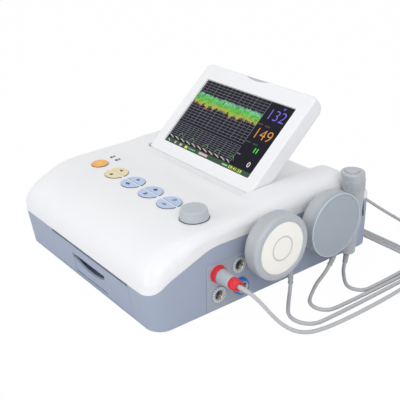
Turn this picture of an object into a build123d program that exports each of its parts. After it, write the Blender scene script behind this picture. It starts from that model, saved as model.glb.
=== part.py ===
from build123d import *
from math import atan2, cos, degrees, pi, radians, sin, sqrt, tan
import os

# Tabletop fetal monitor with a fold-down display, a paper drawer, two transducers and an event marker.
# Millimetres. Origin: centre of the case's footprint on the table. +X right, -Y front, +Z up.

# ---------------------------------------------------------------- driving dimensions
case_w = 300.0
foot_d = 346.0  # depth of the case at the table
corner_r = 20.0
wall = 2.8
base_z = 1.0  # underside of the base, held off the table by the feet
floor_t = 2.5
front_y = -180.0  # the front wall leans out to here at the parting line
rear_y = 173.5
lip_z = 49.0  # parting line along the front
side_z = 83.5  # parting line along the sides and rear
seam = 0.3  # hairline gap between base and cover
body_d = rear_y - front_y
body_mid = (rear_y + front_y) / 2
side_x = case_w / 2

tilt = 42.41  # the display leans back from the horizontal at rest
screen_w = 174.0
screen_h = 104.4
screen_y = 10.67  # bottom edge of the screen
screen_foot_z = 116.67
lid_w = 211.0
lid_low = -19.0  # lid edges, measured up the screen from its bottom edge
lid_high = 128.5
lid_t = 24.6
bezel_t = 8.0
hinge_s = -13.0  # hinge axis, up the screen and behind its face
hinge_d = -9.0
pin_r = 3.0
running = 0.05

tub_x = 106.7  # half width of the well that the display folds into
tub_front = -4.2
tub_floor = 84.0
deck_z = 68.0  # the rear deck behind the well
step_foot = (-36.0, 103.5)  # (y, z) of the step in front of the well: its foot, its crest and its rear edge
step_crest = (-18.0, 106.4)
step_rear = (-4.2, 105.2)
step_underside = 101.2

drawer_x = (-66.6, 106.5)
drawer_mid = sum(drawer_x) / 2
drawer_top = 45.4
gap = 0.35

key_y = -87.5
key_slope = 2.5
key_z = 102.35  # the cover's surface at key_y
key_r = 15.25
key_split = 3.0
key_pitch = 38.4
key_first = -54.9  # the cream pair; the blue pairs follow at the pitch
key_rise = 1.4
knob_at = (109.0, -0.5)  # on the keypad's plane
knob_r = 17.2
knob_top_r = 15.3
knob_rise = 12.0

probe_r = 40.0
probe_face_x = 189.5
probe_back_x = 163.5
probe_seam_x = 183.5
us_y, us_z = -26.0, 75.0
toco_y, toco_z = 60.6, 76.0

marker_x, marker_y = 163.2, 112.0
marker_top = 123.2

cable_d = 4.6
floor_line = 2.35  # centre of a cable that lies on the table

os.makedirs("parts", exist_ok=True)


def save(part, name):
    part.label = name
    export_step(part, f"parts/{name}.step")


# ---------------------------------------------------------------- frames used by several pieces
lid_sin, lid_cos = sin(radians(tilt)), cos(radians(tilt))


def lid_point(x, s, d):
    """A point of the display: x across, s up the screen, d out of its face."""
    return (x, screen_y + s * lid_cos - d * lid_sin, screen_foot_z + s * lid_sin + d * lid_cos)


def lid_plane(d=0.0):
    """Plane of the screen, d in front of its face, with its origin on the bottom edge's middle."""
    return Plane(origin=lid_point(0, 0, d), x_dir=(1, 0, 0), z_dir=(0, -lid_sin, lid_cos))


def key_plane(rise=0.0):
    """Plane of the keypad's surface, raised by rise; its origin is on the keys' centre line."""
    up = (0, -sin(radians(key_slope)), cos(radians(key_slope)))
    return Plane(origin=(0, key_y + rise * up[1], key_z + rise * up[2]), x_dir=(1, 0, 0), z_dir=up)


def turning_plane(y, z):
    """Plane through an axis along X, for profiles that are turned round it: local x is X, local y is Z."""
    return Plane(origin=(0, y, z), x_dir=(1, 0, 0), z_dir=(0, -1, 0))


hinge_axis = lid_point(0, hinge_s, hinge_d)


# ---------------------------------------------------------------- case surfaces
def case_block(inset, low):
    """The base's outside, moved in by inset, from low up past the parting line."""
    with BuildPart() as block:
        with BuildSketch(Plane.XY.offset(low)):
            RectangleRounded(case_w - 2 * inset, foot_d - 2 * inset, corner_r - inset)
        with BuildSketch(Plane.XY.offset(lip_z)):
            with Locations((0, body_mid)):
                RectangleRounded(case_w - 2 * inset, body_d - 2 * inset, corner_r - inset)
        loft()
        with BuildSketch(Plane.XY.offset(lip_z)):
            with Locations((0, body_mid)):
                RectangleRounded(case_w - 2 * inset, body_d - 2 * inset, corner_r - inset)
        extrude(amount=60)
    return block.part


# centre line of the cover's outside, front to rear: (y, z), and the radius of its side edges
top_line = [
    (-181.8, 44, 14), (-180.3, 54, 15), (-177.2, 67, 20), (-170, 79.5, 24), (-158, 89, 26),
    (-141, 95.8, 24), (-121, 99.9, 15), (-104, 101.6, 12), (-84, 102.5, 12), (-60, 103.1, 12),
    (-42, 103.5, 12), (-30, 104, 13), (-18, 105.3, 16), (0, 107.8, 19), (25, 109.5, 20), (50, 110.2, 20),
    (90, 111.2, 20), (108, 111.5, 20), (120, 110.3, 21), (131, 105.6, 22), (141, 99.6, 23),
    (150, 93.3, 23), (159, 87.2, 23), (166, 81.6, 22), (172, 75.6, 21), (177, 70, 20),
]


def cover_block(inset):
    """Everything under the cover's outside, moved in by inset: a prism trimmed by one crowned surface."""
    with BuildLine() as crown:
        Spline(*[(y, z) for y, z, _ in top_line])
    edge = crown.edges()[0]
    half = side_x + 0.4 - inset
    rows = []
    steps = 80
    for i in range(steps + 1):
        here = edge.position_at(i / steps)
        along = edge.tangent_at(i / steps)
        out_y, out_z = -along.Y, along.X
        radius = 12.0
        for (y0, _, r0), (y1, _, r1) in zip(top_line, top_line[1:]):
            if y0 <= here.X <= y1:
                radius = r0 + (r1 - r0) * (here.X - y0) / (y1 - y0)
        flat = half - radius
        edge_turns = [pi / 2 * k / 8 for k in range(9)]
        across = [(-flat - radius * sin(t), radius * (1 - cos(t))) for t in reversed(edge_turns)]
        across += [(flat * k / 4, 0.0) for k in range(-3, 4)]
        across += [(flat + radius * sin(t), radius * (1 - cos(t))) for t in edge_turns]
        rows.append(
            [
                Vector(x, here.X - out_y * (drop + inset), here.Y - out_z * (drop + inset))
                for x, drop in across
            ]
        )
    surface = Face.make_surface_from_array_of_points(rows, tol=0.05, min_deg=3, max_deg=3)
    with BuildPart() as block:
        with BuildSketch(Plane.XY.offset(lip_z - 5)):
            with Locations((0, body_mid)):
                RectangleRounded(case_w - 2 * inset, body_d - 2 * inset, corner_r - inset)
        extrude(amount=90)
        split(bisect_by=surface, keep=Keep.TOP)
    return block.part


def above_parting(shift):
    """Everything above the line where base and cover meet: it climbs from the front and falls to the rear."""
    with BuildPart() as region:
        with BuildSketch(Plane.YZ):
            with BuildLine():
                front = Line((-210, lip_z + shift), (front_y, lip_z + shift))
                climb = Spline(
                    front @ 1,
                    (-159, 58.5 + shift),
                    (-139, 67 + shift),
                    (-112, 77.4 + shift),
                    (-84, side_z + shift),
                    tangents=[(1, 0.1), (1, 0)],
                )
                level = Line(climb @ 1, (60, side_z + shift))
                fall = Spline(
                    level @ 1,
                    (100, 81 + shift),
                    (130, 75.5 + shift),
                    (152, 69.5 + shift),
                    (190, 56 + shift),
                    tangents=[(1, 0), (1, -0.35)],
                )
                Polyline(fall @ 1, (220, 56 + shift), (220, 170), (-210, 170), front @ 0)
            make_face()
        extrude(amount=220, both=True)
    return region.part


def well(grow):
    """The well that the display folds into and the deck behind it, grown all round."""
    with BuildPart() as region:
        with BuildSketch(Plane.YZ):
            with BuildLine():
                Polyline(
                    (tub_front, 170),
                    (tub_front, tub_floor),
                    (146, tub_floor),
                    (160, deck_z),
                    (210, deck_z),
                    (210, 170),
                    close=True,
                )
            make_face()
            if grow:
                offset(amount=grow, kind=Kind.INTERSECTION)
        extrude(amount=tub_x + grow, both=True)
    return region.part


def step_outline(half_front, half_side, front, side, rear=0.0):
    """Plan of the step: a straight front edge whose ends turn back at a slant towards the side ridges."""
    Polygon(
        (-half_side, rear),
        (-half_side, side),
        (-half_front, front),
        (half_front, front),
        (half_side, side),
        (half_side, rear),
        align=None,
    )


with BuildPart() as cover_outside:
    add(cover_block(0))
    with BuildSketch(Plane.XY.offset(step_foot[1])):
        step_outline(116, 140, step_foot[0], -28)
    extrude(amount=-2)
    with BuildSketch(Plane.XY.offset(step_foot[1])):
        step_outline(116, 140, step_foot[0], -28)
    with BuildSketch(Plane.XY.offset(step_crest[1])):
        step_outline(112, 124, step_crest[0], -14)
    loft(ruled=True)
    # behind its crest the step falls to the well, between walls that slope up to the side ridges
    with BuildSketch(Plane.XZ.offset(-step_crest[0] - 1)):
        with BuildLine():
            Polyline(
                (-tub_x + 4, step_crest[1]),
                (tub_x - 4, step_crest[1]),
                (tub_x + 2, step_crest[1] + 6),
                (-tub_x - 2, step_crest[1] + 6),
                close=True,
            )
        make_face()
    extrude(
        amount=16,
        dir=(0, step_rear[0] - step_crest[0] - 1, step_rear[1] - step_crest[1]),
        mode=Mode.SUBTRACT,
    )

# ---------------------------------------------------------------- case
posts = [(132, -150), (136, -20), (134, 150)]
post_places = [(side * x, y) for side in (-1, 1) for x, y in posts]
post_top = 40.3
standoffs = [(x, y) for x in (-55, 50) for y in (30, 130)]
board_z = 50.0
feet_at = [(0, 0)] + [(x, y) for x in (-118, 118) for y in (-138, 138)]
foot_r = 9.0
inlet_at = (-95, 28)
rocker_at = (-60, 28)
grille_at = (-60, 40)
socket_at = {"red": (-88.3, 48.8), "blue": (-55.6, 21.2), "upper": (-57.8, 49.2), "lower": (-87.4, 21.2)}

with BuildPart() as base_shell:
    add(case_block(0, base_z))
    add(case_block(wall, base_z + floor_t), mode=Mode.SUBTRACT)
    add(above_parting(-seam / 2), mode=Mode.SUBTRACT)
    add(well(wall + seam), mode=Mode.SUBTRACT)
    with Locations((drawer_mid, -175, base_z + floor_t + gap + 50)):
        Box(drawer_x[1] - drawer_x[0] + 2 * gap, 24, 100, mode=Mode.SUBTRACT)
    with BuildSketch(Plane.XY.offset(base_z - 1)):
        with Locations(*post_places):
            Circle(2)
    extrude(amount=floor_t + 2, mode=Mode.SUBTRACT)
    with BuildSketch(Plane.XY.offset(base_z - 1)):
        with Locations(*post_places):
            Circle(4.1)
    extrude(amount=2.9, mode=Mode.SUBTRACT)
    with BuildSketch(Plane.XY.offset(base_z - 1)):
        with Locations(*feet_at):
            Circle(foot_r + 0.1)
    extrude(amount=2, mode=Mode.SUBTRACT)
    with BuildSketch(Plane.YZ.offset(side_x - 10)):
        with Locations(*socket_at.values()):
            Circle(8.8)
    extrude(amount=20, mode=Mode.SUBTRACT)
    with BuildSketch(Plane.YZ.offset(side_x - 5)):
        with Locations((154.3, 54.5)):
            SlotOverall(24, 4.4, rotation=99)
    extrude(amount=10, mode=Mode.SUBTRACT)
    with BuildSketch(Plane.YZ.offset(-side_x - 5)):
        with Locations(grille_at):
            with HexLocations(3.1, 7, 5):
                Circle(1.7)
    extrude(amount=10, mode=Mode.SUBTRACT)
    with BuildSketch(Plane.XZ.offset(-rear_y - 5)):
        with Locations(inlet_at):
            Rectangle(27.6, 19.6)
        with Locations(rocker_at):
            Rectangle(18.6, 21)
        with Locations(*[(20 + 9 * i, 34) for i in range(10)]):
            SlotOverall(20, 3, rotation=90)
    extrude(amount=12, mode=Mode.SUBTRACT)
    # the one moulding is kept as plain stretches that meet face to face: floor, side walls and ends
    split(bisect_by=Plane.XY.offset(base_z + floor_t + gap), keep=Keep.BOTH)
    split(bisect_by=Plane.XZ.offset(150), keep=Keep.BOTH)
    split(bisect_by=Plane.XZ.offset(-150), keep=Keep.BOTH)
save(base_shell.part, "base_shell")

# the screw posts, the board's standoffs and the drawer's side rails, which stand on the base's floor
with BuildPart() as base_posts:
    with BuildSketch(Plane.XY.offset(base_z + floor_t)):
        with Locations(*post_places):
            Circle(5)
            Circle(2, mode=Mode.SUBTRACT)
    extrude(amount=post_top - base_z - floor_t)
    with BuildSketch(Plane.XY.offset(base_z + floor_t)):
        with Locations(*standoffs):
            Circle(3.5)
    extrude(amount=board_z - base_z - floor_t)
    with BuildSketch(Plane.XY.offset(base_z + floor_t)):
        with Locations((-61.9, -90), (101.9, -90)):
            Rectangle(1.4, 150)
    extrude(amount=8.5)
save(base_posts.part, "base_posts")


def key_half(side, grow=0.0, radius=key_r):
    """Half of a round key: a disc cut along X, the rear half for side 1 and the front half for side -1."""
    Circle(radius + grow)
    with Locations((0, side * (key_split / 2 - radius - 2 * grow))):
        Rectangle(3 * radius, 2 * (radius + grow), mode=Mode.SUBTRACT)


def key_plane_at(x, rise):
    """The keypad's plane with its origin at x on the keys' centre line, raised by rise."""
    return Plane(key_plane(rise).from_local_coords((x, 0, 0)), (1, 0, 0), key_plane().z_dir)


key_centres = [key_first + key_pitch * i for i in range(4)]
orange_x, orange_r = -96.3, 11.25
key_bosses = [(x, y) for x in (-76, 3, 86) for y in (-15, 22)]
lamp_at = [(-104.7, 23.2), (-91.8, 23.0)]
lamp_r = 2.0

with BuildPart() as cover_cavity:
    add(cover_block(wall))
    add(well(wall), mode=Mode.SUBTRACT)
    with Locations((0, (step_foot[0] - 2 + step_rear[0]) / 2, step_underside + 10)):
        Box(270, step_rear[0] - step_foot[0] + 2, 20, mode=Mode.SUBTRACT)

with BuildPart() as below_parting:
    with BuildSketch(Plane.XY):
        Rectangle(500, 500)
    extrude(amount=200)
    add(above_parting(seam / 2), mode=Mode.SUBTRACT)
    add(well(wall), mode=Mode.SUBTRACT)

with BuildPart() as cover_bosses:
    with BuildSketch(Plane.XY.offset(post_top + 0.1)):
        with Locations(*post_places):
            Circle(4.5)
    extrude(amount=80)
    with BuildSketch(Plane.YZ.offset(tub_x + 0.5)):
        with Locations(hinge_axis[1:]):
            Circle(6.5)
    extrude(amount=9)
    mirror(about=Plane.YZ)
    with BuildSketch(key_plane(-10.3)):
        with Locations(*key_bosses):
            Circle(3)
    extrude(amount=9)
    add(cover_outside.part, mode=Mode.INTERSECT)

with BuildPart() as top_cover:
    add(cover_outside.part)
    add(well(0), mode=Mode.SUBTRACT)
    add(cover_cavity.part, mode=Mode.SUBTRACT)
    add(below_parting.part, mode=Mode.SUBTRACT)
    add(cover_bosses.part)
    with BuildSketch(Plane.YZ.offset(-tub_x - 7)):
        with Locations(hinge_axis[1:]):
            Circle(pin_r + running)
    extrude(amount=2 * tub_x + 14, mode=Mode.SUBTRACT)
    with BuildSketch(Plane.XY.offset(post_top - 0.3)):
        with Locations(*post_places):
            Circle(1.4)
    extrude(amount=22, mode=Mode.SUBTRACT)
    for x in key_centres:
        for side in (-1, 1):
            with BuildSketch(key_plane_at(x, -5)):
                key_half(side, 0.3)
            extrude(amount=12, mode=Mode.SUBTRACT)
    with BuildSketch(key_plane(-5)):
        with Locations((orange_x, 0)):
            Circle(orange_r + 0.3)
        with Locations(knob_at):
            Circle(knob_r + 0.7)
        with Locations(*lamp_at):
            Circle(lamp_r + 0.05)
    extrude(amount=12, mode=Mode.SUBTRACT)
save(top_cover.part, "top_cover")

with BuildPart() as rubber_feet:
    with BuildSketch(Plane.XY):
        with Locations(*feet_at):
            Circle(foot_r)
    extrude(amount=base_z + 1)
    chamfer(rubber_feet.edges().group_by(Axis.Z)[0], 0.4)
save(rubber_feet.part, "rubber_feet")

with BuildPart() as case_screws:
    with BuildSketch(Plane.XY.offset(base_z + 0.2)):
        with Locations(*post_places):
            Circle(3.9)
    extrude(amount=1.7)
    with BuildSketch(Plane.XY.offset(base_z + 1.9)):
        with Locations(*post_places):
            Circle(1.35)
    extrude(amount=55)
    with BuildSketch(Plane.XY.offset(base_z)):
        with Locations(*post_places):
            Rectangle(5, 0.9)
            Rectangle(0.9, 5)
    extrude(amount=1, mode=Mode.SUBTRACT)
save(case_screws.part, "case_screws")

# ---------------------------------------------------------------- keypad
with BuildPart() as key_board:
    with BuildSketch(key_plane(-12)):
        with Locations((6.5, 5)):
            RectangleRounded(237, 46, 2)
        with Locations(knob_at):
            Circle(3.4, mode=Mode.SUBTRACT)
    extrude(amount=1.6)
    with BuildSketch(key_plane(-10.4)):
        with Locations(knob_at):
            Circle(8)
            Circle(3.4, mode=Mode.SUBTRACT)
    extrude(amount=5)
save(key_board.part, "key_board")

with BuildPart() as indicator_lenses:
    with BuildSketch(key_plane(-2.5)):
        with Locations(*lamp_at):
            Circle(lamp_r)
    extrude(amount=2.9)
save(indicator_lenses.part, "indicator_lenses")


def key(name, x, side):
    """One key: its cap, the flange that holds it under the cover, and the stem above its switch."""
    with BuildPart() as cap:
        for low, high, grow in ((-4.7, -3.1, 0.9), (-3.1, key_rise, 0.0)):
            with BuildSketch(key_plane_at(x, low)):
                if side:
                    key_half(side, grow)
                else:
                    Circle(orange_r + grow)
            extrude(amount=high - low)
        rim = cap.faces().sort_by(lambda f: f.center().Z)[-1].edges()
        fillet(rim, 0.7)
        with BuildSketch(key_plane(-8.9)):
            with Locations((x, side * 7.5)):
                Circle(2.5)
        extrude(amount=4.3)
    save(cap.part, name)


key("orange_key", orange_x, 0)
key_names = ["cream_key", "blue_key_1", "blue_key_2", "blue_key_3"]
for key_name, centre in zip(key_names, key_centres):
    key(f"{key_name}_front", centre, -1)
    key(f"{key_name}_rear", centre, 1)

with BuildPart() as encoder_shaft:
    with BuildSketch(key_plane(-15)):
        with Locations(knob_at):
            Circle(pin_r)
    extrude(amount=22)
save(encoder_shaft.part, "encoder_shaft")

with BuildPart() as control_knob:
    with BuildSketch(key_plane(-1.8)):
        with Locations(knob_at):
            Circle(knob_r)
    extrude(amount=3)
    with BuildSketch(key_plane(1.2)):
        with Locations(knob_at):
            Circle(knob_r)
    with BuildSketch(key_plane(knob_rise)):
        with Locations(knob_at):
            Circle(knob_top_r)
    loft()
    fillet(control_knob.faces().sort_by(lambda f: f.center().Z)[-1].edges(), 0.7)
    with BuildSketch(key_plane(-2)):
        with Locations(knob_at):
            Circle(pin_r + running)
    extrude(amount=9.3, mode=Mode.SUBTRACT)
save(control_knob.part, "control_knob")


# ---------------------------------------------------------------- display
def lid_outline(inset):
    """Side view of the display's rear half: x is along the screen, y is out of its face."""
    with BuildSketch(Plane.XY) as outline:
        with BuildLine():
            low, high, back = lid_low + inset, lid_high - inset, -lid_t + inset
            r_low, r_high = 10 - inset, 14 - inset
            Polyline(
                (high, back + r_high),
                (high, -bezel_t + inset),
                (low, -bezel_t + inset),
                (low, back + r_low),
            )
            RadiusArc((low, back + r_low), (low + r_low, back), -r_low)
            Line((low + r_low, back), (high - r_high, back))
            RadiusArc((high - r_high, back), (high, back + r_high), -r_high)
        make_face()
    return outline.sketch


# across the display: local x runs up the screen, local y out of its face
lid_side = Plane(origin=lid_point(0, 0, 0), x_dir=(0, lid_cos, lid_sin), z_dir=(1, 0, 0))

with BuildPart() as lid_back:
    with BuildSketch(lid_side):
        add(lid_outline(0))
    extrude(amount=lid_w / 2, both=True)
    sides = lid_back.faces().sort_by(Axis.X)
    ends = sides[0].edges() + sides[-1].edges()
    front = lid_back.faces().filter_by(lambda f: (f.normal_at() - lid_plane().z_dir).length < 0.01).edges()
    fillet([e for e in ends if e not in front], 6)
    with BuildSketch(Plane(lid_side.from_local_coords((0, 0.01, 0)), lid_side.x_dir, lid_side.z_dir)):
        add(lid_outline(2.4))
        with Locations(((lid_low + lid_high) / 2, -bezel_t - 1.2)):
            Rectangle(lid_high - lid_low - 4.8, 2.5)
    extrude(amount=lid_w / 2 - 2.4, both=True, mode=Mode.SUBTRACT)
save(lid_back.part, "lid_back")

lid_mid = (lid_low + lid_high) / 2
lid_h = lid_high - lid_low
notch_w, notch_depth, notch_x = 54.0, 5.0, -2.0  # the finger notch in the top edge
notch_r = (notch_w**2 / 4 + notch_depth**2) / (2 * notch_depth)
with BuildPart() as lid_bezel:
    with BuildSketch(lid_plane(-bezel_t)):
        with Locations((0, lid_mid)):
            RectangleRounded(lid_w, lid_h, 7)
    extrude(amount=bezel_t)
    out_of_face = lid_plane().z_dir
    fillet(lid_bezel.faces().sort_by(lambda f: f.center().dot(out_of_face))[-1].edges(), 2.5)
    with BuildSketch(lid_plane(-bezel_t)):
        with Locations((0, screen_h / 2)):
            Rectangle(screen_w + 6, screen_h + 6)
    extrude(amount=bezel_t - 2.4, mode=Mode.SUBTRACT)
    with BuildSketch(lid_plane(-3)):
        with Locations((0, screen_h / 2)):
            RectangleRounded(screen_w, screen_h, 1)
    extrude(amount=4, mode=Mode.SUBTRACT, taper=-12)
    with BuildSketch(lid_plane(-6.5)):
        with Locations((notch_x, lid_high - notch_depth + notch_r)):
            Circle(notch_r)
    extrude(amount=7, mode=Mode.SUBTRACT)
save(lid_bezel.part, "lid_bezel")

with BuildPart() as lcd_panel:
    with BuildSketch(lid_plane(-bezel_t + 0.2)):
        with Locations((0, screen_h / 2)):
            Rectangle(screen_w + 5.6, screen_h + 5.6)
    extrude(amount=bezel_t - 2.8)
save(lcd_panel.part, "lcd_panel")

with BuildPart() as lid_hinge_pins:
    with BuildSketch(Plane.YZ.offset(lid_w / 2 - 2)):
        with Locations(hinge_axis[1:]):
            Circle(pin_r)
    extrude(amount=tub_x + 6.5 - lid_w / 2 + 2)
    mirror(about=Plane.YZ)
save(lid_hinge_pins.part, "lid_hinge_pins")

# ---------------------------------------------------------------- paper drawer
lean = degrees(atan2(foot_d / 2 + front_y, lip_z - base_z))  # negative: the wall's top is further forward


def wall_y(z):
    """The front wall's outside at height z."""
    return -foot_d / 2 + (front_y + foot_d / 2) * (z - base_z) / (lip_z - base_z)


def front_plane(z, depth):
    """Plane along the front wall at height z and this far behind its outside; local y runs up the wall."""
    out = (0, -cos(radians(lean)), sin(radians(lean)))
    return Plane(origin=(0, wall_y(z) - depth * out[1], z - depth * out[2]), x_dir=(1, 0, 0), z_dir=out)


drawer_low = base_z + floor_t + 2 * gap
pull_x, pull_z = (-20.0, 53.0), (7.0, 34.0)
pull_mid = sum(pull_x) / 2
latch_axis = (wall_y(9.6) + 1.7, 9.6)
roller_axis = (-163.0, 43.3)
tray_y = (-158.0, -20.0)
tray_x = (-60.0, 100.0)
tray_w = tray_x[1] - tray_x[0]
fascia_back = -169.0
pull_back = -158.6  # the rear of the pull's housing

with BuildPart() as drawer_front:
    add(case_block(0, base_z))
    with Locations((drawer_mid, -180, (drawer_low + drawer_top) / 2)):
        Box(drawer_x[1] - drawer_x[0], 24, drawer_top - drawer_low, mode=Mode.INTERSECT)
    with Locations((drawer_mid, fascia_back + 50, 50)):
        Box(400, 100, 100, mode=Mode.SUBTRACT)
    with Locations((pull_mid, (fascia_back - 0.5 + pull_back) / 2, sum(pull_z) / 2)):
        Box(pull_x[1] - pull_x[0] + 4, pull_back - fascia_back + 0.5, pull_z[1] - pull_z[0] + 4)
    # the pull is open in front; its rear wall slopes down and in from the top edge
    with BuildSketch(Plane.YZ.offset(pull_x[0])):
        with BuildLine():
            Polyline(
                (-190, pull_z[0]),
                (-190, pull_z[1] - 0.4),
                (wall_y(pull_z[1]) + 4.4, pull_z[1] - 0.4),
                (pull_back - 2, 13),
                (pull_back - 2, pull_z[0]),
                close=True,
            )
        make_face()
    extrude(amount=pull_x[1] - pull_x[0], mode=Mode.SUBTRACT)
    with BuildSketch(Plane.YZ.offset(pull_x[0] - 1.6)):
        with Locations(latch_axis):
            Circle(1 + running)
    extrude(amount=pull_x[1] - pull_x[0] + 3.2, mode=Mode.SUBTRACT)
save(drawer_front.part, "drawer_front")

with BuildPart() as drawer_latch:
    with BuildSketch(front_plane(9.6, 3.3)):
        with BuildLine():
            half = (pull_x[1] - pull_x[0]) / 2 - 0.5
            Polyline(
                (pull_mid - half, 18),
                (pull_mid - half, 0),
                (pull_mid + half, 0),
                (pull_mid + half, 18),
            )
            ThreePointArc((pull_mid + half, 18), (pull_mid, 10.2), (pull_mid - half, 18))
        make_face()
    extrude(amount=2.9)
    with BuildSketch(Plane.YZ.offset(pull_mid - half)):
        with Locations(latch_axis):
            Circle(1.6)
    extrude(amount=2 * half)
    with BuildSketch(Plane.YZ.offset(pull_x[0] - 1.4)):
        with Locations(latch_axis):
            Circle(1)
    extrude(amount=pull_x[1] - pull_x[0] + 2.8)
save(drawer_latch.part, "drawer_latch")

with BuildPart() as drawer_tray:
    with BuildSketch(Plane.XY.offset(drawer_low)):
        with Locations((drawer_mid, (tray_y[0] + tray_y[1]) / 2)):
            Rectangle(tray_w, tray_y[1] - tray_y[0])
    extrude(amount=36)
    with BuildSketch(Plane.XY.offset(drawer_low + 1.8)):
        with Locations((drawer_mid, (tray_y[0] + tray_y[1]) / 2)):
            Rectangle(tray_w - 4, tray_y[1] - tray_y[0] - 4)
    extrude(amount=60, mode=Mode.SUBTRACT)
    for x in (tray_x[0] + 1.25, tray_x[1] - 1.25):
        with BuildSketch(Plane.YZ.offset(x - 1.25)):
            with BuildLine():
                Polyline(
                    (-169, drawer_low),
                    (tray_y[0] + 1, drawer_low),
                    (tray_y[0] + 1, 38),
                    (-158.5, 46.8),
                    (-169, 46.8),
                    close=True,
                )
            make_face()
            with Locations(roller_axis):
                Circle(2 + running, mode=Mode.SUBTRACT)
        extrude(amount=2.5)
save(drawer_tray.part, "drawer_tray")

with BuildPart() as platen_roller:
    with BuildSketch(Plane.YZ.offset(tray_x[0] + 4)):
        with Locations(roller_axis):
            Circle(5)
    extrude(amount=tray_w - 8)
    with BuildSketch(Plane.YZ.offset(tray_x[0] + 0.3)):
        with Locations(roller_axis):
            Circle(2)
    extrude(amount=tray_w - 0.6)
save(platen_roller.part, "platen_roller")

# ---------------------------------------------------------------- inside the case
with BuildPart() as printer_frame:
    with BuildSketch(Plane.XZ.offset(147)):
        with Locations((drawer_mid, 35)):
            Rectangle(184, 63)
        with Locations((drawer_mid, 25)):
            Rectangle(177, 54.2, mode=Mode.SUBTRACT)
    extrude(amount=14)
save(printer_frame.part, "printer_frame")

with BuildPart() as main_board:
    with BuildSketch(Plane.XY.offset(board_z)):
        with Locations((-2, 80)):
            RectangleRounded(122, 112, 2)
    extrude(amount=1.6)
    with BuildSketch(Plane.XY.offset(board_z + 1.6)):
        with Locations((-20, 95)):
            Rectangle(28, 28)
        with Locations((25, 100), (25, 70), (-30, 50)):
            Rectangle(18, 12)
        with Locations((40, 40), (0, 130)):
            Rectangle(22, 6)
    extrude(amount=4)
save(main_board.part, "main_board")

with BuildPart() as power_supply:
    with BuildSketch(Plane.XY.offset(base_z + floor_t)):
        with Locations((-103, 84)):
            RectangleRounded(66, 108, 3)
    extrude(amount=35)
save(power_supply.part, "power_supply")

with BuildPart() as battery_pack:
    with BuildSketch(Plane.XY.offset(base_z + floor_t)):
        with Locations((101, 88)):
            RectangleRounded(70, 98, 4)
    extrude(amount=30)
save(battery_pack.part, "battery_pack")

with BuildPart() as speaker:
    with BuildSketch(Plane.YZ.offset(-side_x + wall)):
        with Locations(grille_at):
            Circle(29)
    with BuildSketch(Plane.YZ.offset(-side_x + wall + 3)):
        with Locations(grille_at):
            Circle(28)
    with BuildSketch(Plane.YZ.offset(-side_x + wall + 14)):
        with Locations(grille_at):
            Circle(16)
    loft(ruled=True)
    with BuildSketch(Plane.YZ.offset(-side_x + wall + 14)):
        with Locations(grille_at):
            Circle(20)
    extrude(amount=9)
save(speaker.part, "speaker")

# ---------------------------------------------------------------- rear of the case
rocker_axis = (168.0, rocker_at[1])
rocker_tilt = 7.0

with BuildPart() as mains_inlet:
    with BuildSketch(Plane.XZ.offset(-rear_y)):
        with Locations(inlet_at):
            RectangleRounded(34, 26, 3)
    extrude(amount=-2)
    with BuildSketch(Plane.XZ.offset(-rear_y)):
        with Locations(inlet_at):
            RectangleRounded(27, 19, 2)
    extrude(amount=22)
    with BuildSketch(Plane.XZ.offset(-rear_y - 2)):
        with Locations(inlet_at):
            RectangleRounded(23.5, 16, 2)
    extrude(amount=18, mode=Mode.SUBTRACT)
    with BuildSketch(Plane.XZ.offset(-rear_y + 16)):
        with Locations((-102, 26), (-95, 30.5), (-88, 26)):
            Rectangle(2, 4)
    extrude(amount=-11)
    with BuildSketch(Plane.XZ.offset(-rear_y)):
        with Locations(rocker_at):
            RectangleRounded(22, 26, 2)
            Rectangle(14.2, 21, mode=Mode.SUBTRACT)
    extrude(amount=-1.6)
    with BuildSketch(Plane.XZ.offset(-rear_y)):
        with Locations((-68.1, 28), (-51.9, 28)):
            Rectangle(2, 12)
    extrude(amount=10)
    with BuildSketch(Plane.YZ.offset(-72)):
        with Locations(rocker_axis):
            Circle(1.5 + running)
    extrude(amount=24, mode=Mode.SUBTRACT)
save(mains_inlet.part, "mains_inlet")

rocker_out = (0, cos(radians(rocker_tilt)), -sin(radians(rocker_tilt)))
with BuildPart() as power_rocker:
    with BuildSketch(Plane(origin=(-66.7, *rocker_axis), x_dir=rocker_out, z_dir=(1, 0, 0))):
        with BuildLine():
            Polyline((-3, -6), (6.6, -8.6), (5.4, 0), (6.6, 8.6), (-3, 6), close=True)
        make_face()
    extrude(amount=13.4)
    with BuildSketch(Plane.YZ.offset(-68.8)):
        with Locations(rocker_axis):
            Circle(1.5)
    extrude(amount=17.6)
save(power_rocker.part, "power_rocker")

# ---------------------------------------------------------------- sockets on the right side
panel_t = 1.2
flange_x = side_x + 7.4  # front of the red and the blue socket's flange
aux_front = side_x + 2.6  # front of the two spare sockets' flanges
with BuildPart() as socket_panel:
    with BuildSketch(Plane.YZ.offset(side_x)):
        with Locations((-71, 32)):
            RectangleRounded(66, 60, 4)
        with Locations(*socket_at.values()):
            Circle(8.8, mode=Mode.SUBTRACT)
    extrude(amount=panel_t)
    fillet(socket_panel.faces().sort_by(Axis.X)[-1].outer_wire().edges(), 0.5)
save(socket_panel.part, "socket_panel")


def socket(y, z, front, lip_r):
    """A round socket: its tapered flange on the panel, and its barrel with a blind bore through the wall."""
    with BuildSketch(turning_plane(y, z)) as profile:
        with BuildLine():
            Polyline(
                (136, 0),
                (136, 8.7),
                (side_x + panel_t, 8.7),
                (side_x + panel_t, 10.75),
                (side_x + panel_t + 0.4, 10.75),
                (front - 0.7, lip_r + 0.5),
                (front, lip_r),
                (front, 6.2),
                (139, 6.2),
                (139, 0),
                close=True,
            )
        make_face()
    revolve(profile.sketch, axis=Axis((0, y, z), (1, 0, 0)))


with BuildPart() as us_socket:
    socket(*socket_at["red"], flange_x, 9.2)
save(us_socket.part, "us_socket")

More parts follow.
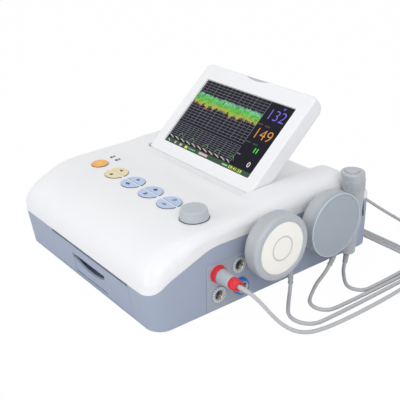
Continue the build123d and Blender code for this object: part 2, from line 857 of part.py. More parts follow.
with BuildPart() as toco_socket:
    socket(*socket_at["blue"], flange_x, 9.2)
save(toco_socket.part, "toco_socket")

with BuildPart() as aux_sockets:
    socket(*socket_at["upper"], aux_front, 9.8)
    socket(*socket_at["lower"], aux_front, 9.8)
save(aux_sockets.part, "aux_sockets")

# ---------------------------------------------------------------- transducers and their hangers
probes = [(us_y, us_z), (toco_y, toco_z)]
hook_x = (152.6, 157.4)

with BuildPart() as transducer_hangers:
    for y, z in probes:
        with BuildSketch(Plane.YZ.offset(side_x)):
            with Locations((y, 72.1)):
                RectangleRounded(30, 18.6, 4)
        extrude(amount=10)
        with BuildSketch(Plane.YZ.offset(hook_x[0])):
            with Locations((y, z)):
                Circle(10.3)
            with Locations((y, z + 15)):
                Rectangle(20.6, 30)
        extrude(amount=hook_x[1] - hook_x[0], mode=Mode.SUBTRACT)
        with BuildSketch(Plane.YZ.offset(hook_x[0])):
            with Locations((y, z)):
                Circle(5.3)
            with Locations((y, z + 15)):
                Rectangle(10.6, 30)
        extrude(amount=10, mode=Mode.SUBTRACT)
save(transducer_hangers.part, "transducer_hangers")

with BuildPart() as belt_buttons:
    for y, z in probes:
        with BuildSketch(turning_plane(y, z)):
            with BuildLine():
                Polyline(
                    (hook_x[0] + 0.4, 0),
                    (hook_x[0] + 0.4, 9),
                    (hook_x[0] + 1.2, 10),
                    (hook_x[1] - 0.5, 10),
                    (hook_x[1] - 0.5, 5),
                    (probe_back_x, 5),
                    (probe_back_x, 0),
                    close=True,
                )
            make_face()
        revolve(axis=Axis((0, y, z), (1, 0, 0)))
save(belt_buttons.part, "belt_buttons")


def probe_case(y, z):
    """The rear shell of a transducer: a shallow round cup with a soft rear edge."""
    with BuildSketch(turning_plane(y, z)) as profile:
        with BuildLine():
            Line((probe_back_x, 0), (probe_back_x, 30))
            TangentArc((probe_back_x, 30), (probe_back_x + 8.5, probe_r), tangent=(0.12, 1))
            Polyline(
                (probe_back_x + 8.5, probe_r),
                (probe_seam_x - 0.05, probe_r),
                (probe_seam_x - 0.05, probe_r - 2.6),
                (probe_back_x + 9.5, probe_r - 2.6),
                (probe_back_x + 2.6, 29.5),
                (probe_back_x + 2.6, 0),
                (probe_back_x, 0),
            )
        make_face()
    revolve(profile.sketch, axis=Axis((0, y, z), (1, 0, 0)))


with BuildPart() as us_back_case:
    probe_case(us_y, us_z)
save(us_back_case.part, "us_back_case")

with BuildPart() as us_front_ring:
    with BuildSketch(turning_plane(us_y, us_z)):
        with BuildLine():
            Polyline(
                (probe_seam_x + 0.05, 31.9),
                (probe_seam_x + 0.05, probe_r),
                (probe_face_x - 3.6, probe_r),
            )
            RadiusArc((probe_face_x - 3.6, probe_r), (probe_face_x, probe_r - 3.6), 3.6)
            Polyline(
                (probe_face_x, probe_r - 3.6),
                (probe_face_x, 32.8),
                (probe_face_x - 0.9, 31.9),
                (probe_seam_x + 0.05, 31.9),
            )
        make_face()
    revolve(axis=Axis((0, us_y, us_z), (1, 0, 0)))
save(us_front_ring.part, "us_front_ring")

with BuildPart() as us_face:
    with BuildSketch(Plane.YZ.offset(probe_seam_x + 0.1)):
        with Locations((us_y, us_z)):
            Circle(31.8)
    extrude(amount=probe_face_x - 0.6 - probe_seam_x - 0.1)
    fillet(us_face.faces().sort_by(Axis.X)[-1].edges(), 0.8)
save(us_face.part, "us_face")

with BuildPart() as toco_case:
    probe_case(toco_y, toco_z)
save(toco_case.part, "toco_case")

with BuildPart() as toco_front:
    with BuildSketch(turning_plane(toco_y, toco_z)):
        with BuildLine():
            Polyline(
                (probe_face_x - 1.2, 0),
                (probe_seam_x + 0.05, 0),
                (probe_seam_x + 0.05, probe_r),
                (probe_face_x - 3.6, probe_r),
            )
            RadiusArc((probe_face_x - 3.6, probe_r), (probe_face_x, probe_r - 3.6), 3.6)
            Polyline(
                (probe_face_x, probe_r - 3.6),
                (probe_face_x, 34),
                (probe_face_x - 1.2, 32),
                (probe_face_x - 1.2, 0),
            )
        make_face()
    revolve(axis=Axis((0, toco_y, toco_z), (1, 0, 0)))
save(toco_front.part, "toco_front")

# ---------------------------------------------------------------- event marker
lean_x, lean_y = 0.615, 0.788  # the handle's belly bows this way
# sections of the handle: height, how far the belly bows, and radius
marker_line = [
    (29, 1.3, 11.4), (45, 2.1, 11.7), (62, 2.7, 12.2), (80, 3.5, 12.3), (98, 3.9, 12.5),
    (110, 2.6, 13.6), (118, 1.2, 14.7), (marker_top, 0.3, 14.8),
]
marker_button_r = 9.0

with BuildPart() as marker_handle:
    for z, off, r in marker_line:
        with BuildSketch(Plane.XY.offset(z)):
            with Locations((marker_x + off * lean_x, marker_y + off * lean_y)):
                Circle(r)
    loft()
    fillet(marker_handle.edges().group_by(Axis.Z)[0], 1)
    fillet(marker_handle.edges().group_by(Axis.Z)[-1], 2.4)
    with BuildSketch(Plane.XY.offset(30)):
        with Locations((marker_x + 0.8, marker_y + 1)):
            Circle(10.2)
    extrude(amount=-18, taper=2)
    fillet(marker_handle.edges().group_by(Axis.Z)[0], 2)
    with BuildSketch(Plane.XY.offset(marker_top - 9)):
        with Locations((marker_x, marker_y)):
            Circle(marker_button_r + 0.3)
    extrude(amount=20, mode=Mode.SUBTRACT)
save(marker_handle.part, "marker_handle")

with BuildPart() as marker_button:
    with BuildSketch(Plane.XY.offset(marker_top - 6.6)):
        with Locations((marker_x, marker_y)):
            Circle(marker_button_r)
    extrude(amount=8.6)
    fillet(marker_button.edges().group_by(Axis.Z)[-1], 1.5)
save(marker_button.part, "marker_button")

clip_x, clip_y = marker_x + 1.4, marker_y + 1.8
with BuildPart() as marker_clip:
    with BuildSketch(Plane.YZ.offset(side_x)):
        with Locations((clip_y, 53)):
            RectangleRounded(24, 26, 3)
    extrude(amount=2.6)
    with BuildSketch(Plane.XY.offset(47)):
        with Locations((clip_x, clip_y)):
            Circle(14.6)
            Circle(12.6, mode=Mode.SUBTRACT)
        with Locations((clip_x + 12, clip_y)):
            Rectangle(12, 30, mode=Mode.SUBTRACT)
        with Locations((side_x + 1, clip_y)):
            Rectangle(2, 8)
    extrude(amount=12)
save(marker_clip.part, "marker_clip")


# ---------------------------------------------------------------- strain reliefs
def tapered(points, radii):
    """A tapered sleeve through points: round sections square to the line between their neighbours."""
    line = [Vector(*p) for p in points]
    sections = []
    for i, (point, radius) in enumerate(zip(line, radii)):
        along = line[min(i + 1, len(line) - 1)] - line[max(i - 1, 0)]
        with BuildSketch(Plane(origin=point, z_dir=along)) as section:
            Circle(radius)
        sections.append(section.sketch)
    loft(sections)


us_relief = [
    (176, -7.2, 43.4), (176, -3.9, 38), (176, -0.6, 31.5), (176, 1.0, 25.5), (176.3, 1.3, 20),
    (177.6, 0.2, 14.6),
]
toco_relief = [
    (176.5, 70.7, 42), (176.5, 73.4, 35.5), (176.5, 74.4, 29), (176.5, 73, 23.5), (176.5, 70.2, 18.6),
    (176.5, 67, 14.2),
]
marker_relief = [
    (163.6, 112.5, 15), (163.8, 112.2, 11.2), (165.1, 110.4, 7.4), (167.6, 106.8, 4.9), (170.9, 102.1, 3.7),
]
with BuildPart() as us_strain_relief:
    tapered(us_relief, (4.5, 4.3, 4.0, 3.7, 3.4, 3.1))
save(us_strain_relief.part, "us_strain_relief")

with BuildPart() as toco_strain_relief:
    tapered(toco_relief, (4.5, 4.3, 4.0, 3.7, 3.4, 3.1))
save(toco_strain_relief.part, "toco_strain_relief")

with BuildPart() as marker_strain_relief:
    tapered(marker_relief, (4.4, 4.2, 3.9, 3.5, 3.2))
save(marker_strain_relief.part, "marker_strain_relief")

# ---------------------------------------------------------------- plugs
red_y, red_z = socket_at["red"]
sleeve_x = flange_x + 0.2
collar_x = (176.0, 187.5)
with BuildPart() as us_plug:
    with BuildSketch(turning_plane(red_y, red_z)):
        with BuildLine():
            Polyline(
                (141, 0),
                (141, 6.1),
                (sleeve_x, 6.1),
                (sleeve_x, 8.2),
                (sleeve_x + 0.5, 8.7),
                (collar_x[0] - 0.7, 7.7),
                (collar_x[0] - 0.05, 7.1),
                (collar_x[0] - 0.05, 0),
                close=True,
            )
        make_face()
    revolve(axis=Axis((0, red_y, red_z), (1, 0, 0)))
save(us_plug.part, "us_plug")

with BuildPart() as us_plug_collar:
    with BuildSketch(turning_plane(red_y, red_z)):
        with BuildLine():
            Polyline(
                (collar_x[0] + 0.05, 0),
                (collar_x[0] + 0.05, 6.9),
                (collar_x[0] + 0.5, 7.3),
                (181, 7.2),
                (collar_x[1] - 0.4, 6.5),
                (collar_x[1], 6.1),
                (collar_x[1], 0),
                close=True,
            )
        make_face()
    revolve(axis=Axis((0, red_y, red_z), (1, 0, 0)))
save(us_plug_collar.part, "us_plug_collar")

lane_toco, lane_marker, lane_us = 184.0, 178.5, 189.5
plug_len = 36.0


def loose_plug(x, y, z):
    """A round plug that lies on the table along Y, with its cable end at y."""
    with BuildSketch(Plane.XY.offset(z)) as profile:
        with BuildLine():
            Polyline(
                (x, y),
                (x + 3.4, y),
                (x + 5.2, y - 7),
                (x + 6.5, y - 9),
                (x + 6.5, y - 25),
                (x + 6.1, y - 25.5),
                (x + 6.1, y - plug_len),
                (x, y - plug_len),
                close=True,
            )
        make_face()
    revolve(profile.sketch, axis=Axis((x, y, z), (0, 1, 0)))


toco_plug_at = (-14.0, 225.5, 6.7)
marker_plug_at = (-98.0, 220.0, 6.7)
with BuildPart() as toco_plug:
    loose_plug(*toco_plug_at)
save(toco_plug.part, "toco_plug")

with BuildPart() as marker_plug:
    loose_plug(*marker_plug_at)
save(marker_plug.part, "marker_plug")

# ---------------------------------------------------------------- cords
coil_out, coil_in, coil_pitch, coil_layers = 31.9, 17.5, 4.8, 4
coil_top = floor_line + coil_pitch * (coil_layers - 1)
coil_x = {"us": 28.0, "toco": -56.0, "marker": -140.0}
lane_y = {"us": lane_us, "toco": lane_toco, "marker": lane_marker}


def turn(centre, radius, start, sweep, steps, z=floor_line):
    """Points round an arc on the table, the first and last included; angles in degrees."""
    angles = [radians(start + sweep * i / steps) for i in range(steps + 1)]
    return [(centre[0] + radius * cos(a), centre[1] + radius * sin(a), z) for a in angles]


def bow(start, end, bulge, stops):
    """Points between two points, at these shares of the way, that bulge to the left of the line."""
    (x0, y0, z0), (x1, y1, z1) = start, end
    length = sqrt((x1 - x0) ** 2 + (y1 - y0) ** 2)
    left = (-(y1 - y0) / length, (x1 - x0) / length)
    return [
        (
            x0 + (x1 - x0) * f + left[0] * bulge * 4 * f * (1 - f),
            y0 + (y1 - y0) * f + left[1] * bulge * 4 * f * (1 - f),
            z0 + (z1 - z0) * f,
        )
        for f in stops
    ]


# each cord runs from its strain relief over the table in a lane of its own, and round to the rear
us_run = [(177.6, 0.2, 14.6), (180.3, -3, 8.2), (186.2, -10, 3.2), (195.3, -20, floor_line)]
us_run += turn((221.1, -15), 22, 226.7, 133.3, 6)
us_run += bow((243.1, -15, floor_line), (243, 145.5, floor_line), -1.2, (0.1, 0.3, 0.65, 0.87))
us_run += turn((199, 145.5), 44, 0, 90, 6)
us_run += bow(
    (199, lane_us, floor_line), (coil_x["us"], lane_us, floor_line), 0.8, (0.12, 0.36, 0.62, 0.85, 1)
)

toco_run = [(176.5, 67, 14.2), (176.6, 61.6, 7.6), (178.2, 52, 3.1), (183.3, 39, floor_line)]
toco_run += [(190.2, 26.8, floor_line), (197, 15.6, floor_line)]
toco_run += turn((217.3, 15.8), 17, 213, 147, 5)
toco_run += bow((234.3, 15.8, floor_line), (236, 147, floor_line), -0.8, (0.12, 0.33, 0.62, 0.86))
toco_run += turn((199, 147), 37, 0, 90, 6)
toco_run += bow(
    (199, lane_toco, floor_line),
    (coil_x["toco"], lane_toco, floor_line),
    0.8,
    (0.07, 0.21, 0.435, 0.66, 0.865, 1),
)

marker_run = [(170.9, 102.1, 3.7), (176.2, 94.4, 2.6), (184.6, 84.3, floor_line), (194.6, 74.6, floor_line)]
marker_run += turn((214.6, 78.3), 16, 233.1, 126.9, 5)
marker_run += bow((230.6, 78.3, floor_line), (229, 148.5, floor_line), -0.6, (0.17, 0.5, 0.83))
marker_run += turn((199, 148.5), 30, 0, 90, 5)
marker_run += bow(
    (199, lane_marker, floor_line),
    (coil_x["marker"], lane_marker, floor_line),
    0.8,
    (0.05, 0.15, 0.333, 0.516, 0.7, 0.876, 1),
)

# the first transducer's cord comes back from its coil, outside the others, to the plugged socket
us_return = [
    (28, lane_us + 2 * coil_out, coil_top),
    (44, 253.6, 15.9),
    (68, 253.9, 12),
    (108, 253.2, 5.2),
    (148, 249.8, 2.6),
    (180, 241.5, floor_line),
    (206, 226.5, floor_line),
    (226.5, 206, floor_line),
    (241, 182, floor_line),
    (249.5, 155, floor_line),
    (254.5, 122, floor_line),
    (257, 80, floor_line),
    (257.6, 38, floor_line),
    (256.6, 2, floor_line),
    (254.2, -24, floor_line),
    (249.3, -44, 3.1),
    (241.5, -57.5, 7.6),
    (233, -66.6, 15.2),
    (225.3, -73.6, 25.2),
    (217.3, -79.6, 36.4),
    (208.6, -84.7, 45.2),
    (198.5, -87.9, 49.2),
    (collar_x[1] + 0.05, red_y, red_z),
]

# the other two cords end in loose plugs in the gaps between the coils
toco_tail = [
    (coil_x["toco"], lane_toco + 2 * coil_out, coil_top),
    (-45.5, 247.7, 16),
    (-34.8, 245.9, 13.7),
    (-25.2, 241.8, 11),
    (-17.9, 235, 8.5),
    (-14, 225.6, 6.7),
]
marker_tail = [(x - 84, y + lane_marker - lane_toco, z) for x, y, z in toco_tail]


def cord_tube(points):
    """A cord's tube: straight runs joined by the widest arcs that the runs allow. Returns its figures."""
    corners = [Vector(*p) for p in points]
    radii = []
    for before, here, after in zip(corners, corners[1:], corners[2:]):
        half_turn = radians((here - before).get_angle(after - here)) / 2
        radii.append(0.45 * min((here - before).length, (after - here).length) / tan(half_turn))
    with BuildLine() as route:
        FilletPolyline(*points, radius=radii)
    path = route.wires()[0]
    with BuildSketch(Plane(origin=path @ 0, z_dir=path % 0)) as section:
        Circle(cable_d / 2)
    sweep(section.sketch, path=path)
    return path.length, min(radii)


def cord(name, *routes):
    with BuildPart() as cable:
        figures = [cord_tube(points) for points in routes]
    save(cable.part, name)
    length = sum(f[0] for f in figures)
    expected = length * pi * cable_d**2 / 4
    radius = min(f[1] for f in figures)
    print(f"{name}: {length:.1f} mm, smallest radius {radius:.1f}, volume / (section x length)", end=" ")
    print(f"{cable.part.volume / expected:.4f}")


cord("us_cable", us_run, us_return)
cord("toco_cable", toco_run, toco_tail)
cord("marker_cable", marker_run, marker_tail)

for cord_name, x in coil_x.items():
    with BuildPart() as coil:
        with BuildSketch(Plane.XY.offset(0.05)):
            with Locations((x, lane_y[cord_name] + coil_out)):
                Circle(coil_out + 2.5)
                Circle(coil_in - 2.4, mode=Mode.SUBTRACT)
        extrude(amount=coil_top + cable_d / 2 + 0.1)
    save(coil.part, f"{cord_name}_coil")
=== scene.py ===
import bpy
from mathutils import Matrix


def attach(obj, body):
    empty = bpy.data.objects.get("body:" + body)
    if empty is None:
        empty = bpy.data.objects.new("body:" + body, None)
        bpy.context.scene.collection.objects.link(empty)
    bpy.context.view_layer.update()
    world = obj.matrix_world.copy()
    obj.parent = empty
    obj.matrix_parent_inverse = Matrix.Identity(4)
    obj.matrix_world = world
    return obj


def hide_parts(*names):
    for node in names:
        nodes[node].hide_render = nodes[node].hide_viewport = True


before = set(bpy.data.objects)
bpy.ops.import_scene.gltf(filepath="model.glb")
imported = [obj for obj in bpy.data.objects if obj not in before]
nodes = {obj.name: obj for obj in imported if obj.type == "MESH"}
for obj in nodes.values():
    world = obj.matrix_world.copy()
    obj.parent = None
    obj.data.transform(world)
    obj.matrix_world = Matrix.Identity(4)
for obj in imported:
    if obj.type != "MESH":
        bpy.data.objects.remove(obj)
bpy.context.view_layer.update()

import bpy
import bmesh
from math import asin, cos, pi, radians, sin, sqrt
from mathutils import Matrix, Vector

MM = 0.001


# ---------- shared helpers
def placed(name, data):
    """A new object in the scene that shows this data."""
    made = bpy.data.objects.new(name, data)
    bpy.context.scene.collection.objects.link(made)
    return made


def mm(*values):
    """These sizes in mm, in metres."""
    return tuple(v * MM for v in values)


def drawn(thing):
    """A plain mesh of a thing as it is drawn."""
    return bpy.data.meshes.new_from_object(thing.evaluated_get(bpy.context.evaluated_depsgraph_get()))


def spline(name, points, steps, scale=1.0):
    """Curve data with one smooth spline whose control points are these."""
    data = bpy.data.curves.new(name, "CURVE")
    data.dimensions = "3D"
    line = data.splines.new("NURBS")
    line.points.add(len(points) - 1)
    for spot, (x, y, z) in zip(line.points, points):
        spot.co = (x * scale, y * scale, z * scale, 1)
    line.order_u = 3
    line.use_endpoint_u = True
    data.resolution_u = steps
    return data


def tube_faces(rows, count):
    """Faces that join rows of points one after the other, each row a ring of count points."""
    edges = [(i * count + k, i * count + (k + 1) % count) for i in range(rows - 1) for k in range(count)]
    return [[a, b, b + count, a + count] for a, b in edges]


# ---------- camera
CAMERA_SPOT = (0.71426, -0.54602, 0.47951)  # metres
CAMERA_LOOK = (-0.7173, 0.5528, -0.4242)
CAMERA_RIGHT = (0.6149, 0.7885, -0.0123)
camera_data = bpy.data.cameras.new("camera")
camera_data.sensor_fit = "HORIZONTAL"
camera_data.sensor_width = 36.0
camera_data.lens = 67.75
camera_data.clip_start = 0.01
camera_data.clip_end = 50.0
camera = placed("camera", camera_data)
look = Vector(CAMERA_LOOK).normalized()
right = Vector(CAMERA_RIGHT)
right = (right - look * right.dot(look)).normalized()
up = right.cross(look)
stance = Matrix((right, up, -look)).transposed().to_4x4()
camera.matrix_world = Matrix.Translation(Vector(CAMERA_SPOT)) @ stance
bpy.context.scene.camera = camera

# ---------- cords
CABLE = 4.6
FLOOR = 2.35
LANES = {"us": 189.5, "toco": 184.0, "marker": 178.5}
COIL_X = {"us": 28.0, "toco": -56.0, "marker": -140.0}
COIL_OUT, COIL_IN, COIL_PITCH, COIL_LAYERS = 31.9, 17.5, 4.8, 4
COIL_TOP = FLOOR + COIL_PITCH * (COIL_LAYERS - 1)
RED_Y, RED_Z = -88.3, 48.8
COLLAR_END = 187.5
BEND_X = 199  # the cords turn round this place at the right rear


def turn(centre, radius, start, sweep, steps, z=FLOOR):
    """Points round an arc on the table, the first and last included; angles in degrees."""
    angles = [radians(start + sweep * i / steps) for i in range(steps + 1)]
    return [(centre[0] + radius * cos(a), centre[1] + radius * sin(a), z) for a in angles]


def bow(start, end, bulge, stops):
    """Points between two points, at these shares of the way, that bulge to the left of the line."""
    (x0, y0, z0), (x1, y1, z1) = start, end
    length = sqrt((x1 - x0) ** 2 + (y1 - y0) ** 2)
    left = (-(y1 - y0) / length, (x1 - x0) / length)
    return [
        (
            x0 + (x1 - x0) * f + left[0] * bulge * 4 * f * (1 - f),
            y0 + (y1 - y0) * f + left[1] * bulge * 4 * f * (1 - f),
            z0 + (z1 - z0) * f,
        )
        for f in stops
    ]


def coil_turns(which):
    """Control points of a coil, from where its cord meets it to where the cord leaves at the rear."""
    centre = (COIL_X[which], LANES[which] + COIL_OUT)
    steps = 18  # points in one turn
    turns_in_layer = 3
    climb_turns = 0.35  # the cord climbs to the next layer over the end of a layer
    total = COIL_LAYERS * turns_in_layer * steps + steps // 2
    points = []
    for i in range(1, total):
        turns = i / steps
        layer = min(int(turns / turns_in_layer), COIL_LAYERS - 1)
        share = min((turns - layer * turns_in_layer) / turns_in_layer, 1.0)
        radius = COIL_OUT - (COIL_OUT - COIL_IN) * (share if layer % 2 == 0 else 1 - share)
        climb = 0.0
        if layer < COIL_LAYERS - 1:
            climb = max(0.0, 1 - (turns_in_layer * (1 - share)) / climb_turns)
        angle = -pi / 2 - 2 * pi * turns
        height = FLOOR + COIL_PITCH * (layer + climb)
        points.append((centre[0] + radius * cos(angle), centre[1] + radius * sin(angle), height))
    return points


def to_coil(which, stops):
    """A cord's last run on the table, along its lane from the bend to its coil."""
    return bow((BEND_X, LANES[which], FLOOR), (COIL_X[which], LANES[which], FLOOR), 0.8, stops)


us_run = [(177.6, 0.2, 14.6), (180.3, -3, 8.2), (186.2, -10, 3.2), (195.3, -20, FLOOR)]
us_run += turn((221.1, -15), 22, 226.7, 133.3, 6)
us_run += bow((243.1, -15, FLOOR), (243, 145.5, FLOOR), -1.2, (0.1, 0.3, 0.65, 0.87))
us_run += turn((BEND_X, 145.5), 44, 0, 90, 6)
us_run += to_coil("us", (0.12, 0.36, 0.62, 0.85, 1))

toco_run = [(176.5, 67, 14.2), (176.6, 61.6, 7.6), (178.2, 52, 3.1), (183.3, 39, FLOOR)]
toco_run += [(190.2, 26.8, FLOOR), (197, 15.6, FLOOR)]
toco_run += turn((217.3, 15.8), 17, 213, 147, 5)
toco_run += bow((234.3, 15.8, FLOOR), (236, 147, FLOOR), -0.8, (0.12, 0.33, 0.62, 0.86))
toco_run += turn((BEND_X, 147), 37, 0, 90, 6)
toco_run += to_coil("toco", (0.07, 0.21, 0.435, 0.66, 0.865, 1))

marker_run = [(170.9, 102.1, 3.7), (176.2, 94.4, 2.6), (184.6, 84.3, FLOOR), (194.6, 74.6, FLOOR)]
marker_run += turn((214.6, 78.3), 16, 233.1, 126.9, 5)
marker_run += bow((230.6, 78.3, FLOOR), (229, 148.5, FLOOR), -0.6, (0.17, 0.5, 0.83))
marker_run += turn((BEND_X, 148.5), 30, 0, 90, 5)
marker_run += to_coil("marker", (0.05, 0.15, 0.333, 0.516, 0.7, 0.876, 1))

us_return = [
    (28, LANES["us"] + 2 * COIL_OUT, COIL_TOP), (44, 253.6, 15.9), (68, 253.9, 12), (108, 253.2, 5.2),
    (148, 249.8, 2.6), (180, 241.5, FLOOR), (206, 226.5, FLOOR), (226.5, 206, FLOOR), (241, 182, FLOOR),
    (249.5, 155, FLOOR), (254.5, 122, FLOOR), (257, 80, FLOOR), (257.6, 38, FLOOR), (256.6, 2, FLOOR),
    (254.2, -24, FLOOR), (249.3, -44, 3.1), (241.5, -57.5, 7.6), (233, -66.6, 15.2),
    (225.3, -73.6, 25.2), (217.3, -79.6, 36.4), (208.6, -84.7, 45.2), (198.5, -87.9, 49.2),
    (COLLAR_END + 0.05, RED_Y, RED_Z),
]

toco_tail = [
    (COIL_X["toco"], LANES["toco"] + 2 * COIL_OUT, COIL_TOP),
    (-45.5, 247.7, 16), (-34.8, 245.9, 13.7), (-25.2, 241.8, 11), (-17.9, 235, 8.5), (-14, 225.6, 6.7),
]
coil_step = COIL_X["toco"] - COIL_X["marker"]
marker_tail = [(x - coil_step, y + LANES["marker"] - LANES["toco"], z) for x, y, z in toco_tail]


def cord_curve(name, points):
    """A round cord: one smooth spline whose control points are the route's."""
    data = spline(name, points, 4, MM)
    data.bevel_depth = CABLE / 2 * MM
    data.bevel_resolution = 2
    data.use_fill_caps = True
    return placed(name, data)


def line_length(points):
    """Length of the cord's own spline, in metres."""
    probe = placed("measure", spline("measure", points, 6, MM))
    mesh = drawn(probe)
    ends = [[mesh.vertices[v].co for v in edge.vertices] for edge in mesh.edges]
    total = sum((a - b).length for a, b in ends)
    bpy.data.objects.remove(probe)
    bpy.data.meshes.remove(mesh)
    return total


routes = {
    "us": us_run + coil_turns("us") + us_return,
    "toco": toco_run + coil_turns("toco") + toco_tail,
    "marker": marker_run + coil_turns("marker") + marker_tail,
}

# ---------- materials
def linear(code):
    """Linear colour of an sRGB hex value."""
    parts = [int(code[i:i + 2], 16) / 255 for i in (0, 2, 4)]
    return tuple(p / 12.92 if p <= 0.04045 else ((p + 0.055) / 1.055) ** 2.4 for p in parts) + (1.0,)


def add_node(tree, kind, inputs=None, **settings):
    """A node with its inputs set to a value or linked to a socket, and its settings."""
    made = tree.nodes.new(kind)
    for name, value in settings.items():
        setattr(made, name, value)
    for name, value in (inputs or {}).items():
        socket = made.inputs[name]
        if isinstance(value, bpy.types.NodeSocket):
            tree.links.new(value, socket)
        else:
            socket.default_value = value
    return made


def maths(tree, operation, *values):
    """The result of a sum on numbers or sockets."""
    return add_node(tree, "ShaderNodeMath", dict(enumerate(values)), operation=operation).outputs[0]


def new_material(name):
    """A material, its tree, its shader and the object's own coordinates in it."""
    made = bpy.data.materials.new(name)
    made.use_nodes = True
    tree = made.node_tree
    where = add_node(tree, "ShaderNodeTexCoord").outputs["Object"]
    return made, tree, tree.nodes["Principled BSDF"], where


def noise(tree, where, scale, detail):
    """A soft cloud from 0 to 1, with this many blobs to a metre."""
    inputs = {"Vector": where, "Scale": scale, "Detail": detail}
    return add_node(tree, "ShaderNodeTexNoise", inputs).outputs["Fac"]


def colour_mix(tree, share, first, second):
    """The colour at this share of the way from the first to the second."""
    inputs = {"Factor": share, 6: first, 7: second}
    return add_node(tree, "ShaderNodeMix", inputs, data_type="RGBA").outputs[2]


def surface(name, code, rough, worn=None, patch=35, grain=0.9, depth=0.012, rough_range=0.06, **fixed):
    """A moulded or coated surface. Its tone changes faintly over patch mm.

    grain and depth are the size and the depth of its grain in mm.
    """
    made, tree, shader, where = new_material(name)
    cloud = noise(tree, where, 1000 / patch, 3.0)
    tree.links.new(colour_mix(tree, cloud, linear(code), linear(worn or code)), shader.inputs["Base Color"])
    fine = noise(tree, where, 1000 / grain, 2.0)
    limits = {"Value": cloud, "To Min": rough - rough_range, "To Max": rough + rough_range}
    spread = add_node(tree, "ShaderNodeMapRange", limits)
    tree.links.new(spread.outputs["Result"], shader.inputs["Roughness"])
    relief = add_node(tree, "ShaderNodeBump", {"Strength": 0.35, "Distance": depth * MM, "Height": fine})
    tree.links.new(relief.outputs["Normal"], shader.inputs["Normal"])
    for socket, value in fixed.items():
        shader.inputs[socket.replace("_", " ")].default_value = value
    return made


def lit(name, code, strength=1.0):
    """Light from the display's own pixels behind its glass."""
    made, tree, shader, where = new_material(name)
    full = linear(code)
    dimmer = tuple(0.8 * v for v in full[:3]) + (1.0,)
    glow = colour_mix(tree, noise(tree, where, 900.0, 1.0), full, dimmer)
    shader.inputs["Base Color"].default_value = linear("0A0B12")
    tree.links.new(glow, shader.inputs["Emission Color"])
    shader.inputs["Emission Strength"].default_value = strength
    shader.inputs["Roughness"].default_value = 0.35
    return made


# Injection-moulded ABS, spark-eroded mould: a soft even sheen with a fine grain
white_abs = surface("white moulded ABS", "F2F2F3", 0.42, "EEEEF0")
grey_abs = surface("blue-grey moulded ABS", "A3ADC0", 0.45, "9FA9BC")
# the same ABS with the finer polish of small trim
trim_abs = surface("grey polished ABS trim", "A8B0BC", 0.38, "A3ABB7", grain=0.6)
knob_abs = surface("grey soft-touch knob", "BBC2C8", 0.48, "B6BDC3", grain=0.7)
# a pale colour for small beads on rims: painted highlight along the knob's top edge and the contact plate's
# edge
rim_highlight_abs = surface("pale ABS bead, painted rim highlight", "D6DBDF", 0.3, "D0D5DA", grain=0.6, depth=0.006)
probe_abs = surface("grey moulded transducer shell", "B4B8BC", 0.4, "B0B4B8")
probe_edge = surface("grey moulded transducer ring", "B9BEC3", 0.36, "B4B9BF", grain=0.6)
toco_abs = surface("grey moulded contact plate", "A6B0B8", 0.42, "A2ACB4", grain=0.6)
marker_abs = surface("grey moulded marker handle", "B9BDC2", 0.36, "B4B8BD")
# Soft PVC sheath: low sheen, slight dimpling of the extruded skin
pvc = surface("soft PVC cable sheath", "BEBFC2", 0.5, "B8B9BC", patch=12, grain=1.6, depth=0.03)
boot_pvc = surface("soft PVC strain relief", "AEB1B5", 0.52, "A9ACB0", patch=12)
# Glossy acetal rings that mark the sockets
red_ring = surface("red acetal ring", "E62430", 0.24, "DC202C", grain=1.2, depth=0.006)
blue_ring = surface("blue acetal ring", "2F7FD0", 0.28, "2B79C8", grain=1.2, depth=0.006)
grey_ring = surface("grey acetal ring", "9AA2B0", 0.3, "949CAA", grain=1.2, depth=0.006)
# Nickel-plated brass contacts and sleeves
plated = {"patch": 4, "grain": 0.4, "depth": 0.004}
nickel = surface("nickel-plated brass", "D6D5D1", 0.24, "CBCAC6", **plated, Metallic=1.0)
# a near-white, barely metallic copy of the nickel for the knurled lock rings: partly the plating's own pale
# colour, partly painted glint
nickel_painted_glint = surface("near-white nickel, painted glint", "F0F2F6", 0.3, "E6E8EC", **plated, Metallic=0.3)
steel = surface("zinc-plated steel", "B9BBBD", 0.32, "AEB0B2", **plated, Metallic=1.0)
# Painted polycarbonate key caps: smooth, a little glossier than the case
orange_cap = surface("orange key cap", "F7B456", 0.34, "F2AC48", grain=1.0, depth=0.006)
cream_cap = surface("cream key cap", "EEDDAE", 0.34, "EAD8A8", grain=1.0, depth=0.006)
blue_cap = surface("light blue key cap", "BCCDE9", 0.34, "B5C7E5", grain=1.0, depth=0.006)
printed = {"patch": 3, "grain": 0.3, "depth": 0.003}
ink = surface("dark pad-printed ink", "1E2B48", 0.5, "1A2642", **printed)
orange_print = surface("pale orange pad-printed ink", "FBD79A", 0.5, "F8D292", **printed)
lamp_lens = surface("smoked indicator lens", "3C4654", 0.2, "364050", grain=1.0, depth=0.003)
black_abs = surface("black moulded ABS", "1B1C1E", 0.45, "202124")
# a pale grey for the pad in the display's notch: painted shade of the notch
notch_shade_grey = surface("pale grey painted notch shade", "BFC4CC", 0.7, "B9BEC6", grain=0.7, depth=0.02)
# black rubber of the feet and the roller; the same black also colours the rings of painted gap shade round
# the keys and the knob
rubber = surface("black moulded rubber, also painted gap shade", "232326", 0.7, "2A2A2D", patch=8, grain=0.7, depth=0.03)
board = surface("green coated circuit board", "1F6B3C", 0.4, "1B6236", patch=10)
module_tin = surface("dark module housing", "3A3C40", 0.45, "36383C", patch=12)
tray_abs = surface("grey moulded tray", "8F97A5", 0.5, "8B93A1")
strap = surface("woven hook-and-loop strap", "2C2D30", 0.8, "36373A", patch=2, grain=0.5, depth=0.08)
# Anti-glare glass over a dark panel: its etched coat takes nearly all of the shine away
etched = {"grain": 0.5, "depth": 0.002, "rough_range": 0.02, "Specular_IOR_Level": 0.12}
glass = surface("dark display glass", "12101F", 0.3, "100E1B", **etched)
